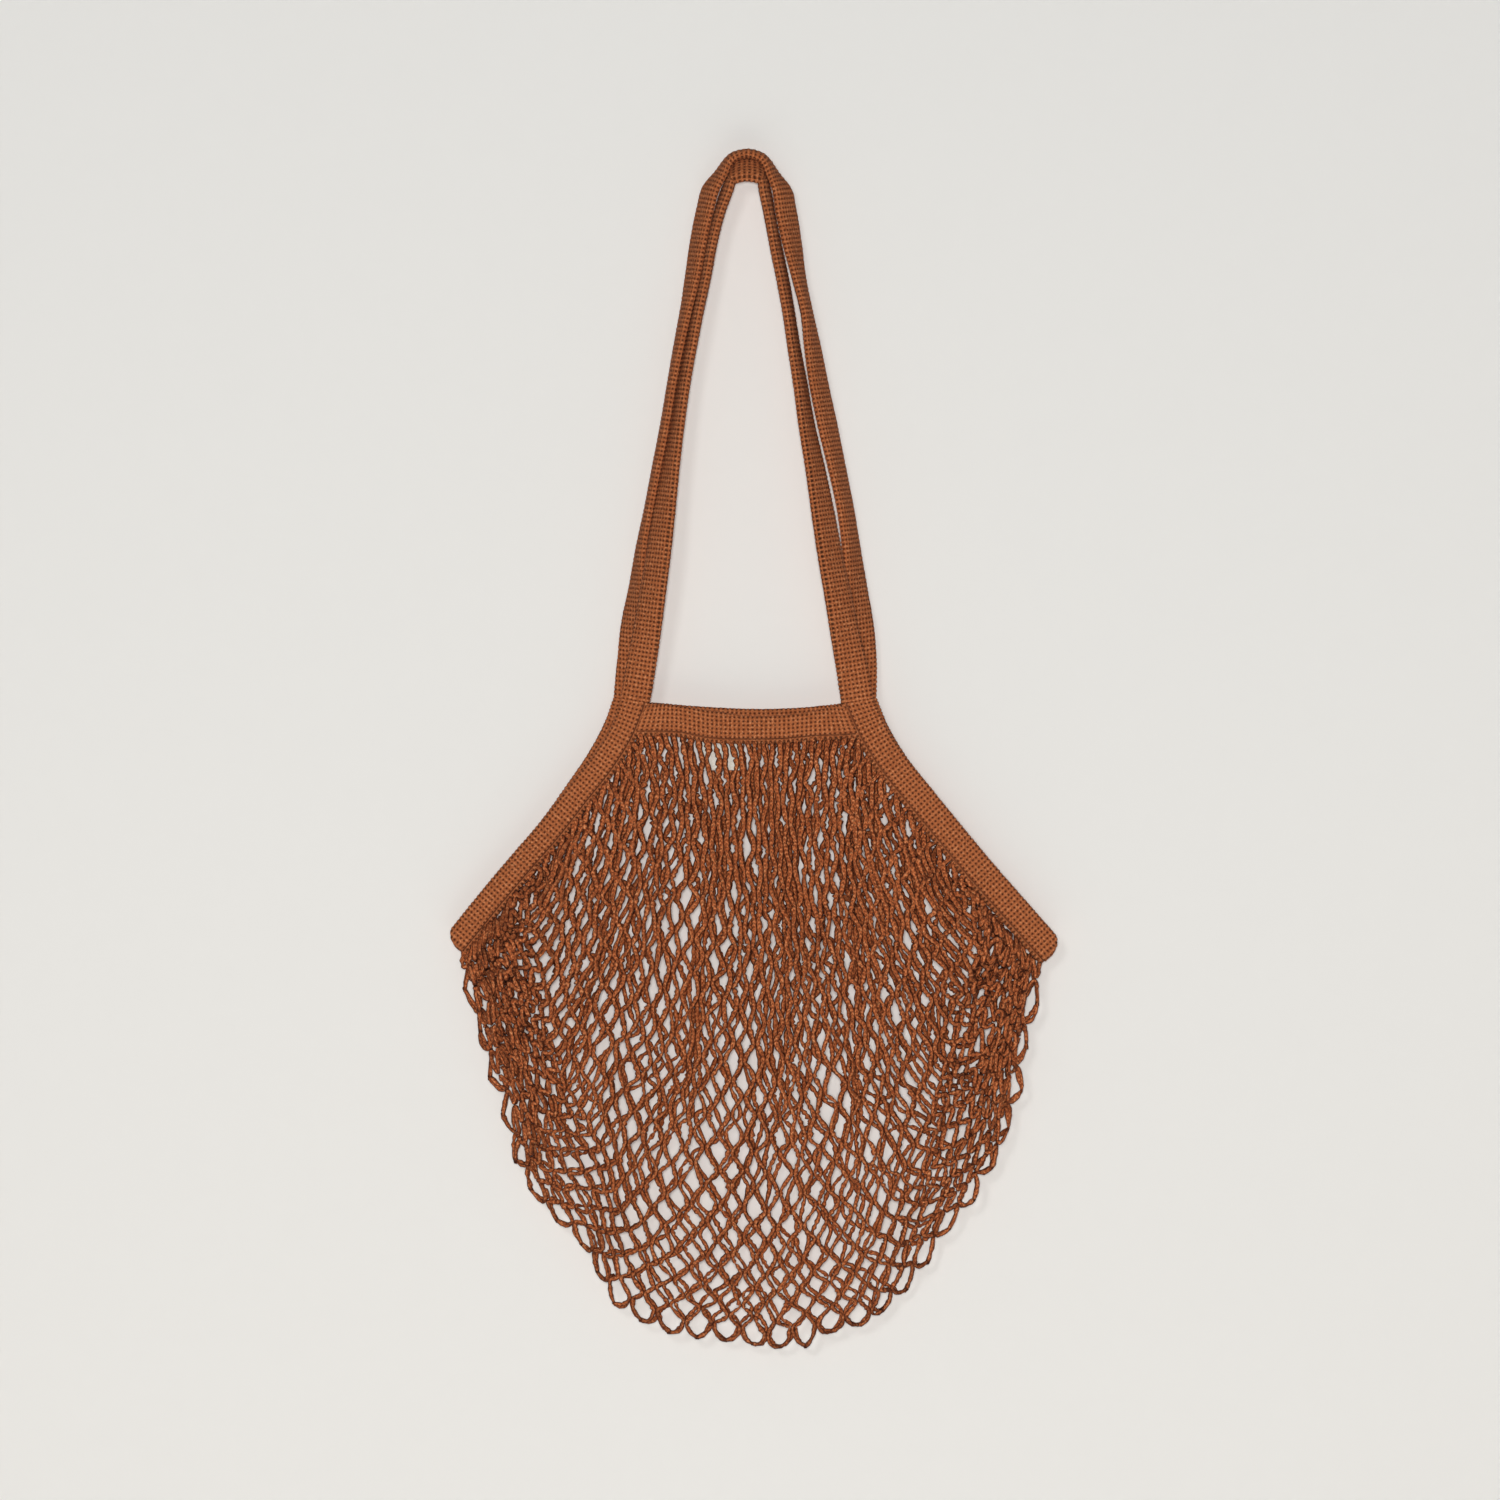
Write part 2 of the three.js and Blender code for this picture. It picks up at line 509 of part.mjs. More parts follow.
const handles = handleStations();
const feet = {
  frontLeft: handles.front[0],
  frontRight: handles.front[handles.front.length - 1],
  rearLeft: handles.rear[0],
  rearRight: handles.rear[handles.rear.length - 1],
};
const leftSide = sideStations(LEFT_SLANT, feet.frontLeft, feet.rearLeft);
const rightSide = sideStations(RIGHT_SLANT, feet.frontRight, feet.rearRight);
const frontMouth = mouthStations(FRONT_MOUTH,
  { foot: feet.frontLeft, corner: leftSide.front[0] },
  { foot: feet.frontRight, corner: rightSide.front[0] }, -LAYER_OFFSET);
const backMouth = mouthStations(BACK_MOUTH,
  { foot: feet.rearLeft, corner: leftSide.rear[0] },
  { foot: feet.rearRight, corner: rightSide.rear[0] }, LAYER_OFFSET);
const rimOf = (layer, mouth) => rimPoints(
  [...leftSide[layer].slice(0, -1), leftSide.tip],
  [...rightSide[layer].slice(0, -1), rightSide.tip],
  mouth,
);

const bag = new THREE.Group();
function add(name, geometry, material) {
  const mesh = new THREE.Mesh(geometry, material);
  mesh.name = name;
  bag.add(mesh);
}
add('front_handle', tapeGeometry(handles.front), knitted);
add('back_handle', tapeGeometry(handles.rear), knitted);
add('left_side_band', tapeGeometry(leftSide.tape), knitted);
add('right_side_band', tapeGeometry(rightSide.tape), knitted);
add('front_mouth_band', tapeGeometry(frontMouth), knitted);
add('back_mouth_band', tapeGeometry(backMouth), knitted);
const tips = [leftSide.tipward, rightSide.tipward];
add('front_net', netGeometry(-1, rimOf('front', frontMouth), ...tips), netCotton);
add('back_net', netGeometry(1, rimOf('rear', backMouth), ...tips), netCotton);
add('label', labelGeometry(backMouth), labelCotton);

export default bag;
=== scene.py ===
"""A knitted string shopping bag with two long handles, hanging empty against a pale wall.

Lengths are in millimetres until a mesh is made. +Z is up, the viewer is on the -Y side and the origin
is on top of the peg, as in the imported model. One endless knitted tape makes the handles and the side
bands, two short bands cross the mouth, and the net is a lattice of cotton cords.
"""

import bpy
import numpy as np
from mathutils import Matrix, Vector


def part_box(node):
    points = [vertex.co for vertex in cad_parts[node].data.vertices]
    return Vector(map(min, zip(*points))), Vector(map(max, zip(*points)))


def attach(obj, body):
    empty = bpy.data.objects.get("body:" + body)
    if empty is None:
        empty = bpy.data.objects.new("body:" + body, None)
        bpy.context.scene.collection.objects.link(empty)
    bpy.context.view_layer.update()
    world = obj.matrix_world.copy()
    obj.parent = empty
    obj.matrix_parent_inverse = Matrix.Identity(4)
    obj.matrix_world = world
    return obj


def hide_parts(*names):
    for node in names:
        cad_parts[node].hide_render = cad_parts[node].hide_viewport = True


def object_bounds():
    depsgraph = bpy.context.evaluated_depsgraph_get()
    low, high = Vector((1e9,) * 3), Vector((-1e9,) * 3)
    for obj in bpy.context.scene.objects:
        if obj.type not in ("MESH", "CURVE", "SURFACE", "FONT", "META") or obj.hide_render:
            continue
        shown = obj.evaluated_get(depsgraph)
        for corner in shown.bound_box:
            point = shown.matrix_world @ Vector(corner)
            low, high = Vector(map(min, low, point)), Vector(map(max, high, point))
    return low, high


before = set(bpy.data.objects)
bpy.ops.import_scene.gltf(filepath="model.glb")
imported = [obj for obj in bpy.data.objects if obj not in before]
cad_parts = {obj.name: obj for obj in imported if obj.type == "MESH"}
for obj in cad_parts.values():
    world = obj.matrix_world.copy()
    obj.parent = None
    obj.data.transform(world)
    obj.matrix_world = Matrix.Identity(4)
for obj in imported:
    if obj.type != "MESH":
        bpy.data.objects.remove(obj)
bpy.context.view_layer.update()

MM = 0.001

# Sizes of the frame's solids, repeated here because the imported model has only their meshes
TAPE_WIDTH = 20.0
TAPE_THICKNESS = 3.6
MOUTH_WIDTH = 116.0
MOUTH_DEPTH = 10.0
MOUTH_SAG = 10.0
HANDLE_DROP = 322.0
PEG_DIAMETER = 14.0
FRONT_SINK = 4.2
HANDLE_FORWARD = 3.0
FORWARD_OVER = 0.2
HANDLE_SETBACK = 6.0
BODY_WIDTH = 367.0
SIDE_DROP = 146.0
POUCH_DROP = 240.0
TIP_DEPTH = 1.6
FRONT_BULGE = 24.0
BACK_BULGE = 13.5
BULGE_AT = 0.6
CLEARANCE = 0.3
LEG_OFFSET = (MOUTH_WIDTH + TAPE_WIDTH) / 2
TIP_OFFSET = BODY_WIDTH / 2 - TAPE_WIDTH / 3
LAYER_OFFSET = MOUTH_DEPTH / 2 + TAPE_THICKNESS / 2
TIP_LAYER_OFFSET = TIP_DEPTH / 2 + TAPE_THICKNESS / 2
SIDE_CORNER = 0.12
SIDE_STEPS = 7
TIP_SHARES = (0.962, 0.978, 0.989, 1.0)
TURN_STEP = 15.0

BACK = np.array([0.0, 1.0, 0.0])
UP = np.array([0.0, 0.0, 1.0])

# Legs of the handles, from the mouth to the peg: down and across to the front handle's middle, turn of
# the front and of the rear tape in degrees, gap between them, how far one lies behind the other, narrow
LEFT_LEG = np.array([
    [1.000, -0.985, 0, 0, -0.69, 1, 0.90],
    [0.940, -0.935, 18, 16, -0.68, 1, 0.95],
    [0.870, -0.880, 33, 38, -0.52, 1, 1],
    [0.800, -0.830, 40, 62, -0.28, 1, 1],
    [0.730, -0.780, 46, 78, -0.07, 0.85, 1],
    [0.650, -0.730, 52, 84, -0.055, 0.55, 1],
    [0.570, -0.675, 62, 84, -0.04, 0.3, 1],
    [0.486, -0.613, 72, 84, -0.01, 0.15, 1],
    [0.406, -0.555, 75, 84, 0, 0, 1],
    [0.328, -0.484, 78, 80, 0, 0, 1],
    [0.270, -0.427, 81, 76, 0, 0, 1],
    [0.212, -0.364, 84, 68, 0, 0, 1],
    [0.151, -0.311, 84, 65, 0, 0, 1],
    [0.092, -0.243, 82, 63, 0, 0, 1],
    [0.052, -0.180, 78, 64, 0, 0, 1],
])
RIGHT_LEG = np.array([
    [1.000, 0.972, 0, 0, -0.90, 1, 0.99],
    [0.940, 0.925, 14, 14, -0.74, 1, 1],
    [0.870, 0.858, 30, 33, -0.48, 1, 1],
    [0.800, 0.797, 38, 48, -0.3, 1, 1],
    [0.730, 0.732, 44, 60, -0.1, 1, 1],
    [0.650, 0.668, 50, 64, 0, 0.7, 1],
    [0.570, 0.603, 58, 62, 0, 0.4, 1],
    [0.486, 0.526, 66, 58, 0, 0.15, 1],
    [0.406, 0.467, 72, 60, 0, 0, 1],
    [0.340, 0.413, 76, 66, 0.08, 0, 1],
    [0.285, 0.373, 78, 77, 0.17, 0, 1],
    [0.222, 0.321, 77, 73, 0.08, 0, 1],
    [0.158, 0.258, 78, 60, 0, 0, 1],
    [0.092, 0.196, 81, 55, 0, 0, 1],
    [0.052, 0.160, 78, 60, 0, 0, 1],
])
# Bend over the peg, from left to right: across in peg radii, sink in FRONT_SINK, the two turns, and
# how far the tape keeps upright there instead of fanning round the bend
PEG_BEND = np.array([
    [-1.38, 2.45, 82, 72, 0],
    [-1.02, 1.30, 50, 84, 1],
    [0, 0.85, 45, 90, 1],
    [1.02, 1.30, 50, 84, 1],
    [1.34, 2.45, 82, 72, 0],
])
# Side bands from the mouth to the tip: out, down, narrow, and how far out the back layer runs
LEFT_SLANT = np.array([
    [0.000, 0.000, 0.90, 0.22],
    [0.063, 0.133, 0.84, 0.24],
    [0.132, 0.223, 0.84, 0.20],
    [0.271, 0.355, 0.85, 0.09],
    [0.463, 0.540, 0.86, 0.02],
    [0.716, 0.758, 0.86, 0],
    [0.960, 0.985, 0.86, 0],
])
RIGHT_SLANT = np.array([
    [0.000, 0.000, 0.99, 0.10],
    [0.050, 0.096, 0.97, 0.08],
    [0.167, 0.244, 0.97, 0.03],
    [0.292, 0.363, 0.97, 0.01],
    [0.483, 0.540, 0.97, 0],
    [0.675, 0.716, 0.97, 0],
    [1.030, 1.020, 0.95, 0],
])
# Mouth bands from left to right: along, sag, narrow
FRONT_MOUTH = np.array([
    [0.00, 0.00, 0.87],
    [0.30, 0.52, 1.00],
    [0.57, 1.00, 0.82],
    [0.78, 0.70, 0.90],
    [1.00, 0.12, 0.98],
])
BACK_MOUTH = np.array([
    [0.00, 0.00, 0.90],
    [0.30, 0.34, 0.94],
    [0.57, 0.52, 0.94],
    [0.78, 0.40, 0.94],
    [1.00, 0.06, 0.94],
])
MOUTH_STEPS = 7
# Outline of the net below the tips, from left to right: across in half BODY_WIDTH, down in POUCH_DROP
OUTLINE = np.array([
    [-0.895, 0.110], [-0.845, 0.235], [-0.780, 0.400], [-0.690, 0.595], [-0.530, 0.745],
    [-0.440, 0.860], [-0.250, 0.965], [0.000, 0.995], [0.190, 1.000], [0.400, 0.930],
    [0.590, 0.775], [0.712, 0.640], [0.835, 0.435], [0.905, 0.250], [0.945, 0.100],
])

# Knit of the tape, which stands a little fuller than the frame's plain solids
BAND_THICKNESS = 4.6
HANDLE_THICKNESS = 6.2       # the handles are rolled a little, almost to a tube
ROLLED_OVER = 0.25           # share of a handle on which it becomes flat again
CROWN = 0.17                 # how far the middle of a face stands above its edges, in thicknesses
SEAM_TUCK = 2.0              # how far the ends of the mouth bands reach under the side bands
SEAM_SINK = 0.5              # and how much deeper they lie
COURSE = 2.7                 # pitch of the ribs along the tape
COLUMN = 2.45                # pitch of the stitches across it
RIB_DEPTH = 0.68
VALLEY_LEAST = 0.2           # share of the depth that a valley keeps between its pits
FUZZ = 0.07                  # unevenness of the yarn
FUZZ_SEED = 3
RINGS_PER_COURSE = 4
FACE_POINTS = 29
EDGE_POINTS = 3
BORDER = 3.0                 # width of the chained border along a band's inner edge
BORDER_FLAT = 0.6            # how much flatter its courses are
GROOVE_WIDTH = 0.5
GROOVE_DEPTH = 0.5
TUCK = 0.7                   # how much closer the puffed handles lie side by side
TIP_ROUND = 6.5              # corner radius of the folded tip

# Cords of the net
STRANDS = 60
LEGS = 66                    # half meshes of a strand from the front rim to the rear rim
HALF = LEGS / 2
SAMPLES_PER_LEG = 8
CORD_SIDES = 6
LEFT_STRANDS = 16            # strands that hang from the open part of the left side band
RIGHT_STRANDS = 17
RIM_GRIP = 1.2               # how far the cords reach into the bands
RIM_RADIUS = 1.74            # radius of a cord at the rim
FOLD_RADIUS = 1.24           # and at the bottom
RADIUS_BEND = 1.5            # more than 1 thins the cords early on their way down
CORD_UNEVEN = 0.2
NODE_SHARE = 0.85            # how far apart two cords stand where they meet, in their radii
NEARBY = 0.4                 # strands to each side, from which the direction across the net is read

# Hang of the net
LEG_HANG = 11.3              # height of a half mesh where the net hangs freely
SELVAGE_SHARE = 0.34         # share of a side band's inner edge on which the net's side is gathered
SELVAGE_FADE = 0.05          # share of the strands, next to it, over which the net becomes slack
ASIDE = (0.25, 0.75)         # how far out the sides of the net begin and are reached, 1 at its edge
STEEP = 0.3                  # how much more the strands of the sides hang straight down at first
BUNDLE = 40.0                # how far above the fold the slack rows of the sides crowd together
BUNDLE_BEND = 2.0            # how much more they crowd towards the fold
BUNDLED = 0.6                # how far the rows crowd there instead of spreading evenly
CROWD_RISE = 0.3             # share of the bundle over which the cords become slack
FOLD_POINTS = 500
FOLD_SPREAD = 0.22           # how much wider the strands stand at the sides of the fold
FOLD_BUNCH = 0.15            # how much closer the rows stand at the fold
FOLD_POWER = 4               # roundness of the closing bottom
EDGE_POWER = 6               # and of the closing sides
GATHER_AT = 0.54             # where the strands crowd together in the middle
GATHER_SPAN = 0.19
GATHER_REACH = 16.0
GATHER_BEND = 0.6            # less than 1 gathers the net above its middle
NET_CENTRE = (0.0, 0.0, -500.0)
LOOP_REACH = 3.2             # how far the loops stand out at the gathered sides
HEM_DROP = 1.6               # how far the last loops hang below the fold
HEM_HOOK = 1.7               # how far they hook into each other there

# Irregularity of the net. Its reaches are in millimetres across, in depth and in height.
DRIFT_REACH = (1.9, 2.0, 1.9)
DRIFT_FADE = 0.12            # share of the way down over which the wandering grows
DRIFT_RATES = (7.0, 3.5)     # most waves across the net and down a layer
DRIFT_WAVES = 14
DRIFT_SEED = 40
REGISTER = 0.7               # strands and rows by which the layers wander out of step
REGISTER_SHIFT = (0.5, 0.55)  # strands and rows by which the rear layer is shifted at the rim
REGISTER_LEAST = 0.15        # share of both at the left side
REGISTER_SIDE = (0.15, 0.4)  # shares of the strands between which that grows to the whole
REGISTER_RISE = (0.4, 0.15)  # shares of the rear layer, at the fold and at the rim, where it fades
SHIFT_RISE = (0.2, 0.7)      # shares of the rear layer, up from the fold, between which it shifts
REGISTER_SEED = 60
NET_SEED = 7
NODE_JITTER = (0.7, 0.8, 0.9)
CROWD_JITTER = (0.3, 1.6, 0.5)
JITTER_MOST = 2.0            # largest of both, in standard deviations
LEG_BOW = (0.5, 0.6, 0.5)
CROWD_BOW = 0.8              # how much more the slack cords bow

# Look of the cotton. A ramp's stops are pairs of a value and its level.
FIBRE_DETAIL = 3.0
FIBRE_ROUGHNESS = 0.7
DARK_FIBRES = ((0.38, 0.0), (0.56, 1.0))
LIGHT_FIBRES = ((0.54, 0.0), (0.68, 1.0))
PATCH_SCALE = 35.0
PATCH_DETAIL = 2.0
PATCHES = ((0.3, 0.0), (0.7, 0.35))
EDGE_SHADE_FROM = 0.08           # how far the yarn has turned away from the viewer where painted shade begins
EDGE_SHADE_TO = 0.6              # and where the painted shade is darkest
COTTON_SURFACE = {"Roughness": 0.92, "Specular IOR Level": 0.25, "Sheen Roughness": 0.6}

# Label
LABEL_RINGS = 24
LABEL_POINTS = 32
LABEL_SQUARE = 0.25          # the smaller, the squarer the label's section is across
LABEL_ROUND = 0.5            # and in depth
LABEL_CURL = 0.5

# Wall, floor, light and view. Lamps are placed in metres.
WALL_GAP = 0.3
WALL_REACH = 800.0
WALL_HEIGHT = 500.0
FLOOR_AT = -2600.0
FLOOR_REACH = 16000.0
PAINTED_LIGHT_TOP = 100.0            # heights between which the wall's paint turns lighter downwards, as painted light
PAINTED_LIGHT_FOOT = -760.0
PAINT_SURFACE = {"Roughness": 0.95, "Specular IOR Level": 0.1}
BAG_MIDDLE = (0.0, 0.0, -0.36)
BAG_FOOT = (0.0, 0.0, -0.5)
DAYLIGHT = (1.0, 0.995, 0.98)
WHITE = (1.0, 1.0, 1.0)
SKY_COLOUR = (0.88, 0.88, 0.86, 1.0)
SKY_STRENGTH = 0.12
FRAME_WIDTH = 900.0
CAMERA_AWAY = 4500.0
VIEW_X = 1.8
VIEW_Z = -351.6
SENSOR = 36.0
CLIP_END = 60.0


def unit(vectors):
    """v / |v| along the last axis."""
    return vectors / np.maximum(np.linalg.norm(vectors, axis=-1, keepdims=True), 1e-9)


def smoothstep(low, high, value):
    """3t^2 - 2t^3, with t the place of value between low and high, held to 0..1."""
    t = np.clip((value - low) / (high - low), 0, 1)
    return t * t * (3 - 2 * t)


def lengths(points):
    """Running length of a polyline, 0 at its first point."""
    steps = np.linalg.norm(np.diff(points, axis=0), axis=1)
    return np.concatenate([[0], np.cumsum(steps)])


def through(knots, values, places):
    """Cubic curve through values at the knots, read at places: Hermite pieces
    (2t^3-3t^2+1) p0 + (t^3-2t^2+t) h m0 + (3t^2-2t^3) p1 + (t^3-t^2) h m1, slopes m by differences."""
    slopes = np.gradient(values, knots, axis=0)
    index = np.clip(np.searchsorted(knots, places, side="right") - 1, 0, len(knots) - 2)
    span = (knots[index + 1] - knots[index])[:, None]
    t = (places[:, None] - knots[index][:, None]) / span
    return ((2 * t**3 - 3 * t**2 + 1) * values[index] + (t**3 - 2 * t**2 + t) * span * slopes[index]
            + (3 * t**2 - 2 * t**3) * values[index + 1] + (t**3 - t**2) * span * slopes[index + 1])


def columns(table, at, key=0):
    """Every column of a table read straight between its rows, where the column key has the values at."""
    return np.stack([np.interp(at, table[:, key], column) for column in table.T], axis=-1)


def read_line(line, share):
    """Points at shares 0..1 of the length of a polyline."""
    along = lengths(line)
    return np.stack([np.interp(share * along[-1], along, axis) for axis in line.T], axis=-1)


def differences(points):
    """Direction from the point before to the point after, along the first axis."""
    return unit(np.concatenate([points[1:], points[-1:]]) - np.concatenate([points[:1], points[:-1]]))


def reach_of(turn, width):
    """Half extents of a turned tape: w/2 cos + t/2 sin in the view, w/2 sin + t/2 cos in depth."""
    half, sin, cos = TAPE_THICKNESS / 2, np.sin(turn), np.cos(turn)
    return width / 2 * cos + half * sin, width / 2 * sin + half * cos


def handle_stations():
    """Middle, side, width and thickness of both handles from the left foot over the peg to the right
    foot. The rear tape lies outside the front one by both half extents, or behind it where the table
    says so."""
    def leg(table):
        down, across, turn, rear_turn, apart, behind, narrow = table.T
        return np.stack([across * LEG_OFFSET, -down * HANDLE_DROP, turn, rear_turn, apart, behind,
                         narrow, down], axis=1)

    across, sink, turn, rear_turn, upright = PEG_BEND.T
    zero, one = np.zeros(len(PEG_BEND)), np.ones(len(PEG_BEND))
    bend = np.stack([across * PEG_DIAMETER / 2, -sink * FRONT_SINK, turn, rear_turn, zero, zero, one,
                     zero], axis=1)
    rows = np.concatenate([leg(LEFT_LEG), bend, leg(RIGHT_LEG)[::-1]])
    upright = np.concatenate([np.zeros(len(LEFT_LEG)), upright, np.zeros(len(RIGHT_LEG))])[:, None]
    x, z, turn, rear_turn, apart, behind, narrow, down = rows.T
    turn, rear_turn = np.radians(turn), np.radians(rear_turn)
    line = np.stack([x, np.zeros_like(x), z], axis=1)
    outward = unit(unit(np.cross(differences(line), BACK)) * (1 - upright) + UP * upright)
    width = narrow * TAPE_WIDTH
    near_view, near_depth = reach_of(turn, width)
    far_view, far_depth = reach_of(rear_turn, width)
    beside = near_view + far_view + CLEARANCE + apart * TAPE_WIDTH - TUCK * (1 - behind)
    split = behind * np.maximum(near_depth + far_depth + CLEARANCE, 2 * LAYER_OFFSET)
    forward = HANDLE_FORWARD * smoothstep(0, FORWARD_OVER, 1 - down)
    setback = HANDLE_SETBACK * (1 - behind)
    rolled = smoothstep(0, ROLLED_OVER, 1 - down)
    thickness = BAND_THICKNESS + (HANDLE_THICKNESS - BAND_THICKNESS) * rolled

    def side_of(angle):
        return outward * np.cos(angle)[:, None] + BACK * np.sin(angle)[:, None]

    front = line + BACK * (-forward - split / 2)[:, None]
    rear = line + outward * beside[:, None] + BACK * (setback - forward + split / 2)[:, None]
    return (np.column_stack([front, side_of(turn), width, thickness]),
            np.column_stack([rear, side_of(rear_turn), width, thickness]))


def corner_draw(distance):
    """How far a round corner draws the edge in, that far before its end: r - sqrt(r^2 - (r - d)^2)."""
    short = np.clip(TIP_ROUND - distance, 0, TIP_ROUND)
    return TIP_ROUND - np.sqrt(TIP_ROUND**2 - short**2)


def side_stations(table, foot):
    """Middle, side, width and thickness of one side band's front layer, of its turn round the tip and
    of its back layer. The turn is a half circle in depth, and the outer edge ends in a round corner."""
    mirror = np.sign(foot[0])
    last_down = table[-1, 1]
    shares = np.concatenate([np.linspace(SIDE_CORNER, TIP_SHARES[0], SIDE_STEPS)[:-1], TIP_SHARES])
    out, down, narrow, rear_out = columns(table, shares * last_down, 1).T
    reach = TIP_OFFSET - abs(foot[0])
    line = np.stack([foot[0] + mirror * out * reach, np.zeros_like(out),
                     -HANDLE_DROP - down * SIDE_DROP], axis=1)
    foot_line = np.concatenate([[[foot[0], 0, foot[2]]], line])
    side = np.cross(differences(foot_line)[1:], BACK) * mirror
    layer = LAYER_OFFSET + (TIP_LAYER_OFFSET - LAYER_OFFSET) * down / last_down
    draw = corner_draw(lengths(line)[-1] - lengths(line) + TIP_LAYER_OFFSET)
    width = narrow * TAPE_WIDTH - draw
    line = line - side * draw[:, None] / 2
    thickness = np.full_like(width, BAND_THICKNESS)
    front = np.column_stack([line - BACK * layer[:, None], side, width, thickness])
    rear_middle = line + side * (rear_out * TAPE_WIDTH)[:, None] + BACK * layer[:, None]
    rear = np.column_stack([rear_middle, side, width, thickness])
    tipward = unit(np.cross(BACK, side[-1]) * mirror)
    angle = np.radians(np.arange(TURN_STEP, 180, TURN_STEP))[:, None]
    turn_draw = corner_draw(TIP_LAYER_OFFSET * (1 - np.sin(angle)))
    turned = (line[-1] + tipward * TIP_LAYER_OFFSET * np.sin(angle) - side[-1] * (turn_draw - draw[-1]) / 2
              - BACK * TIP_LAYER_OFFSET * np.cos(angle))
    turn = np.column_stack([turned, np.repeat(side[-1:], len(angle), axis=0),
                            width[-1] - (turn_draw - draw[-1]), np.full(len(angle), BAND_THICKNESS)])
    return front, turn, rear


def mouth_stations(table, left_foot, left_corner, right_foot, right_corner, depth):
    """Middle, side, width and thickness of a mouth band, whose ends reach SEAM_TUCK past the inner edges
    of the side bands."""
    def inner(station):
        return station[:3] - station[3:6] * station[6] / 2

    def end(foot, corner, inward):
        top, bottom = inner(foot), inner(corner)
        middle = (top + bottom) / 2 - inward * SEAM_TUCK
        middle[1] = depth
        side = top - bottom
        side[1] = 0
        return np.concatenate([middle, unit(side), [np.linalg.norm(top - bottom), BAND_THICKNESS]])

    start = end(left_foot, left_corner, np.array([1.0, 0, 0]))
    stop = end(right_foot, right_corner, np.array([-1.0, 0, 0]))
    along, sag, narrow = columns(table, np.linspace(0, 1, MOUTH_STEPS)[1:-1]).T
    width = narrow * TAPE_WIDTH
    x = start[0] + (stop[0] - start[0]) * along
    z = -HANDLE_DROP - sag * MOUTH_SAG - width / 2
    middle = np.stack([x, np.full_like(x, depth), z], axis=1)
    inside = np.column_stack([middle, np.repeat(UP[None], len(x), axis=0), width,
                              np.full(len(x), BAND_THICKNESS)])
    return np.concatenate([[start], inside, [stop]])


def section(width, thickness):
    """Closed outline of the tape, per ring: across and lift of each point, and its place round the
    section. Faces are crowned, lift = t/2 - CROWN t (2x/w)^4; edges are half circles."""
    across = np.linspace(-1, 1, FACE_POINTS)
    angle = np.pi * np.arange(1, EDGE_POINTS + 1) / (EDGE_POINTS + 1)
    width, thickness = width[:, None], thickness[:, None]
    edge = thickness * (0.5 - CROWN)
    flat = width / 2 - edge
    crown = thickness * (0.5 - CROWN * across**4)
    faces_x = flat * across
    edge_x = flat + edge * np.sin(angle)
    edge_z = edge * np.cos(angle)
    x = np.concatenate([faces_x, edge_x, faces_x[:, ::-1], -edge_x], axis=1)
    z = np.concatenate([crown, edge_z, -crown, -edge_z], axis=1)
    place = np.concatenate([np.zeros((len(width), 1)),
                            np.cumsum(np.hypot(np.diff(x, axis=1), np.diff(z, axis=1)), axis=1)], axis=1)
    return x, z, place


def knit(place, along, inner, bordered):
    """Relief of the knit: valleys between the courses, -RIB_DEPTH cos^4(pi v) (l + (1 - l) cos^2(pi u)),
    with v in courses, u in stitches and l = VALLEY_LEAST. A bordered tape has a groove, exp(-((inner -
    BORDER) / GROOVE_WIDTH)^2), beside its inner edge, and flatter courses between the groove and that
    edge. Also gives the groove's share, by which the tape's material paints shade into the groove."""
    valley = np.cos(np.pi * along / COURSE) ** 4
    pit = VALLEY_LEAST + (1 - VALLEY_LEAST) * np.cos(np.pi * place / COLUMN) ** 2
    groove = bordered * np.exp(-((inner - BORDER) / GROOVE_WIDTH) ** 2)
    strip = bordered * (1 - smoothstep(BORDER - GROOVE_WIDTH, BORDER + GROOVE_WIDTH, inner))
    fuzz = np.random.default_rng(FUZZ_SEED).normal(0, FUZZ, place.shape)
    return -RIB_DEPTH * valley * pit * (1 - BORDER_FLAT * strip) - GROOVE_DEPTH * groove + fuzz, groove


def tape_surface(stations, bordered):
    """Rings of a knitted tape along stations: middle + side x + face z + normal relief."""
    knots = lengths(stations[:, :3])
    rings = int(round(knots[-1] / COURSE)) * RINGS_PER_COURSE + 1
    places = np.linspace(0, knots[-1], rings)
    dense = through(knots, stations, places)
    middle, side, width, thickness = dense[:, :3], unit(dense[:, 3:6]), dense[:, 6], dense[:, 7]
    tangent = differences(middle)
    face = unit(np.cross(tangent, side))
    x, z, place = section(width, thickness)
    normal_x = np.gradient(z, axis=1)
    normal_z = -np.gradient(x, axis=1)
    size = np.maximum(np.hypot(normal_x, normal_z), 1e-9)
    relief, groove = knit(place, places[:, None], x + width[:, None] / 2, bordered)
    x = x - normal_x / size * relief
    z = z - normal_z / size * relief
    points = middle[:, None] + side[:, None] * x[..., None] + face[:, None] * z[..., None]
    uv = np.stack([place, np.repeat(places[:, None], place.shape[1], axis=1)], axis=-1)
    return points, uv, groove


def tube_faces(rings, size, first=0):
    """Quads between neighbouring rings of a tube, and its two end caps, as arrays of vertex numbers that
    start at first."""
    ring = np.arange(rings - 1)[:, None] * size
    k = np.arange(size)[None]
    here, right = ring + k, ring + (k + 1) % size
    quads = np.stack([here, right, right + size, here + size], axis=-1).reshape(-1, 4) + first
    caps = np.stack([np.arange(size)[::-1], np.arange(size) + (rings - 1) * size]) + first
    return quads, caps


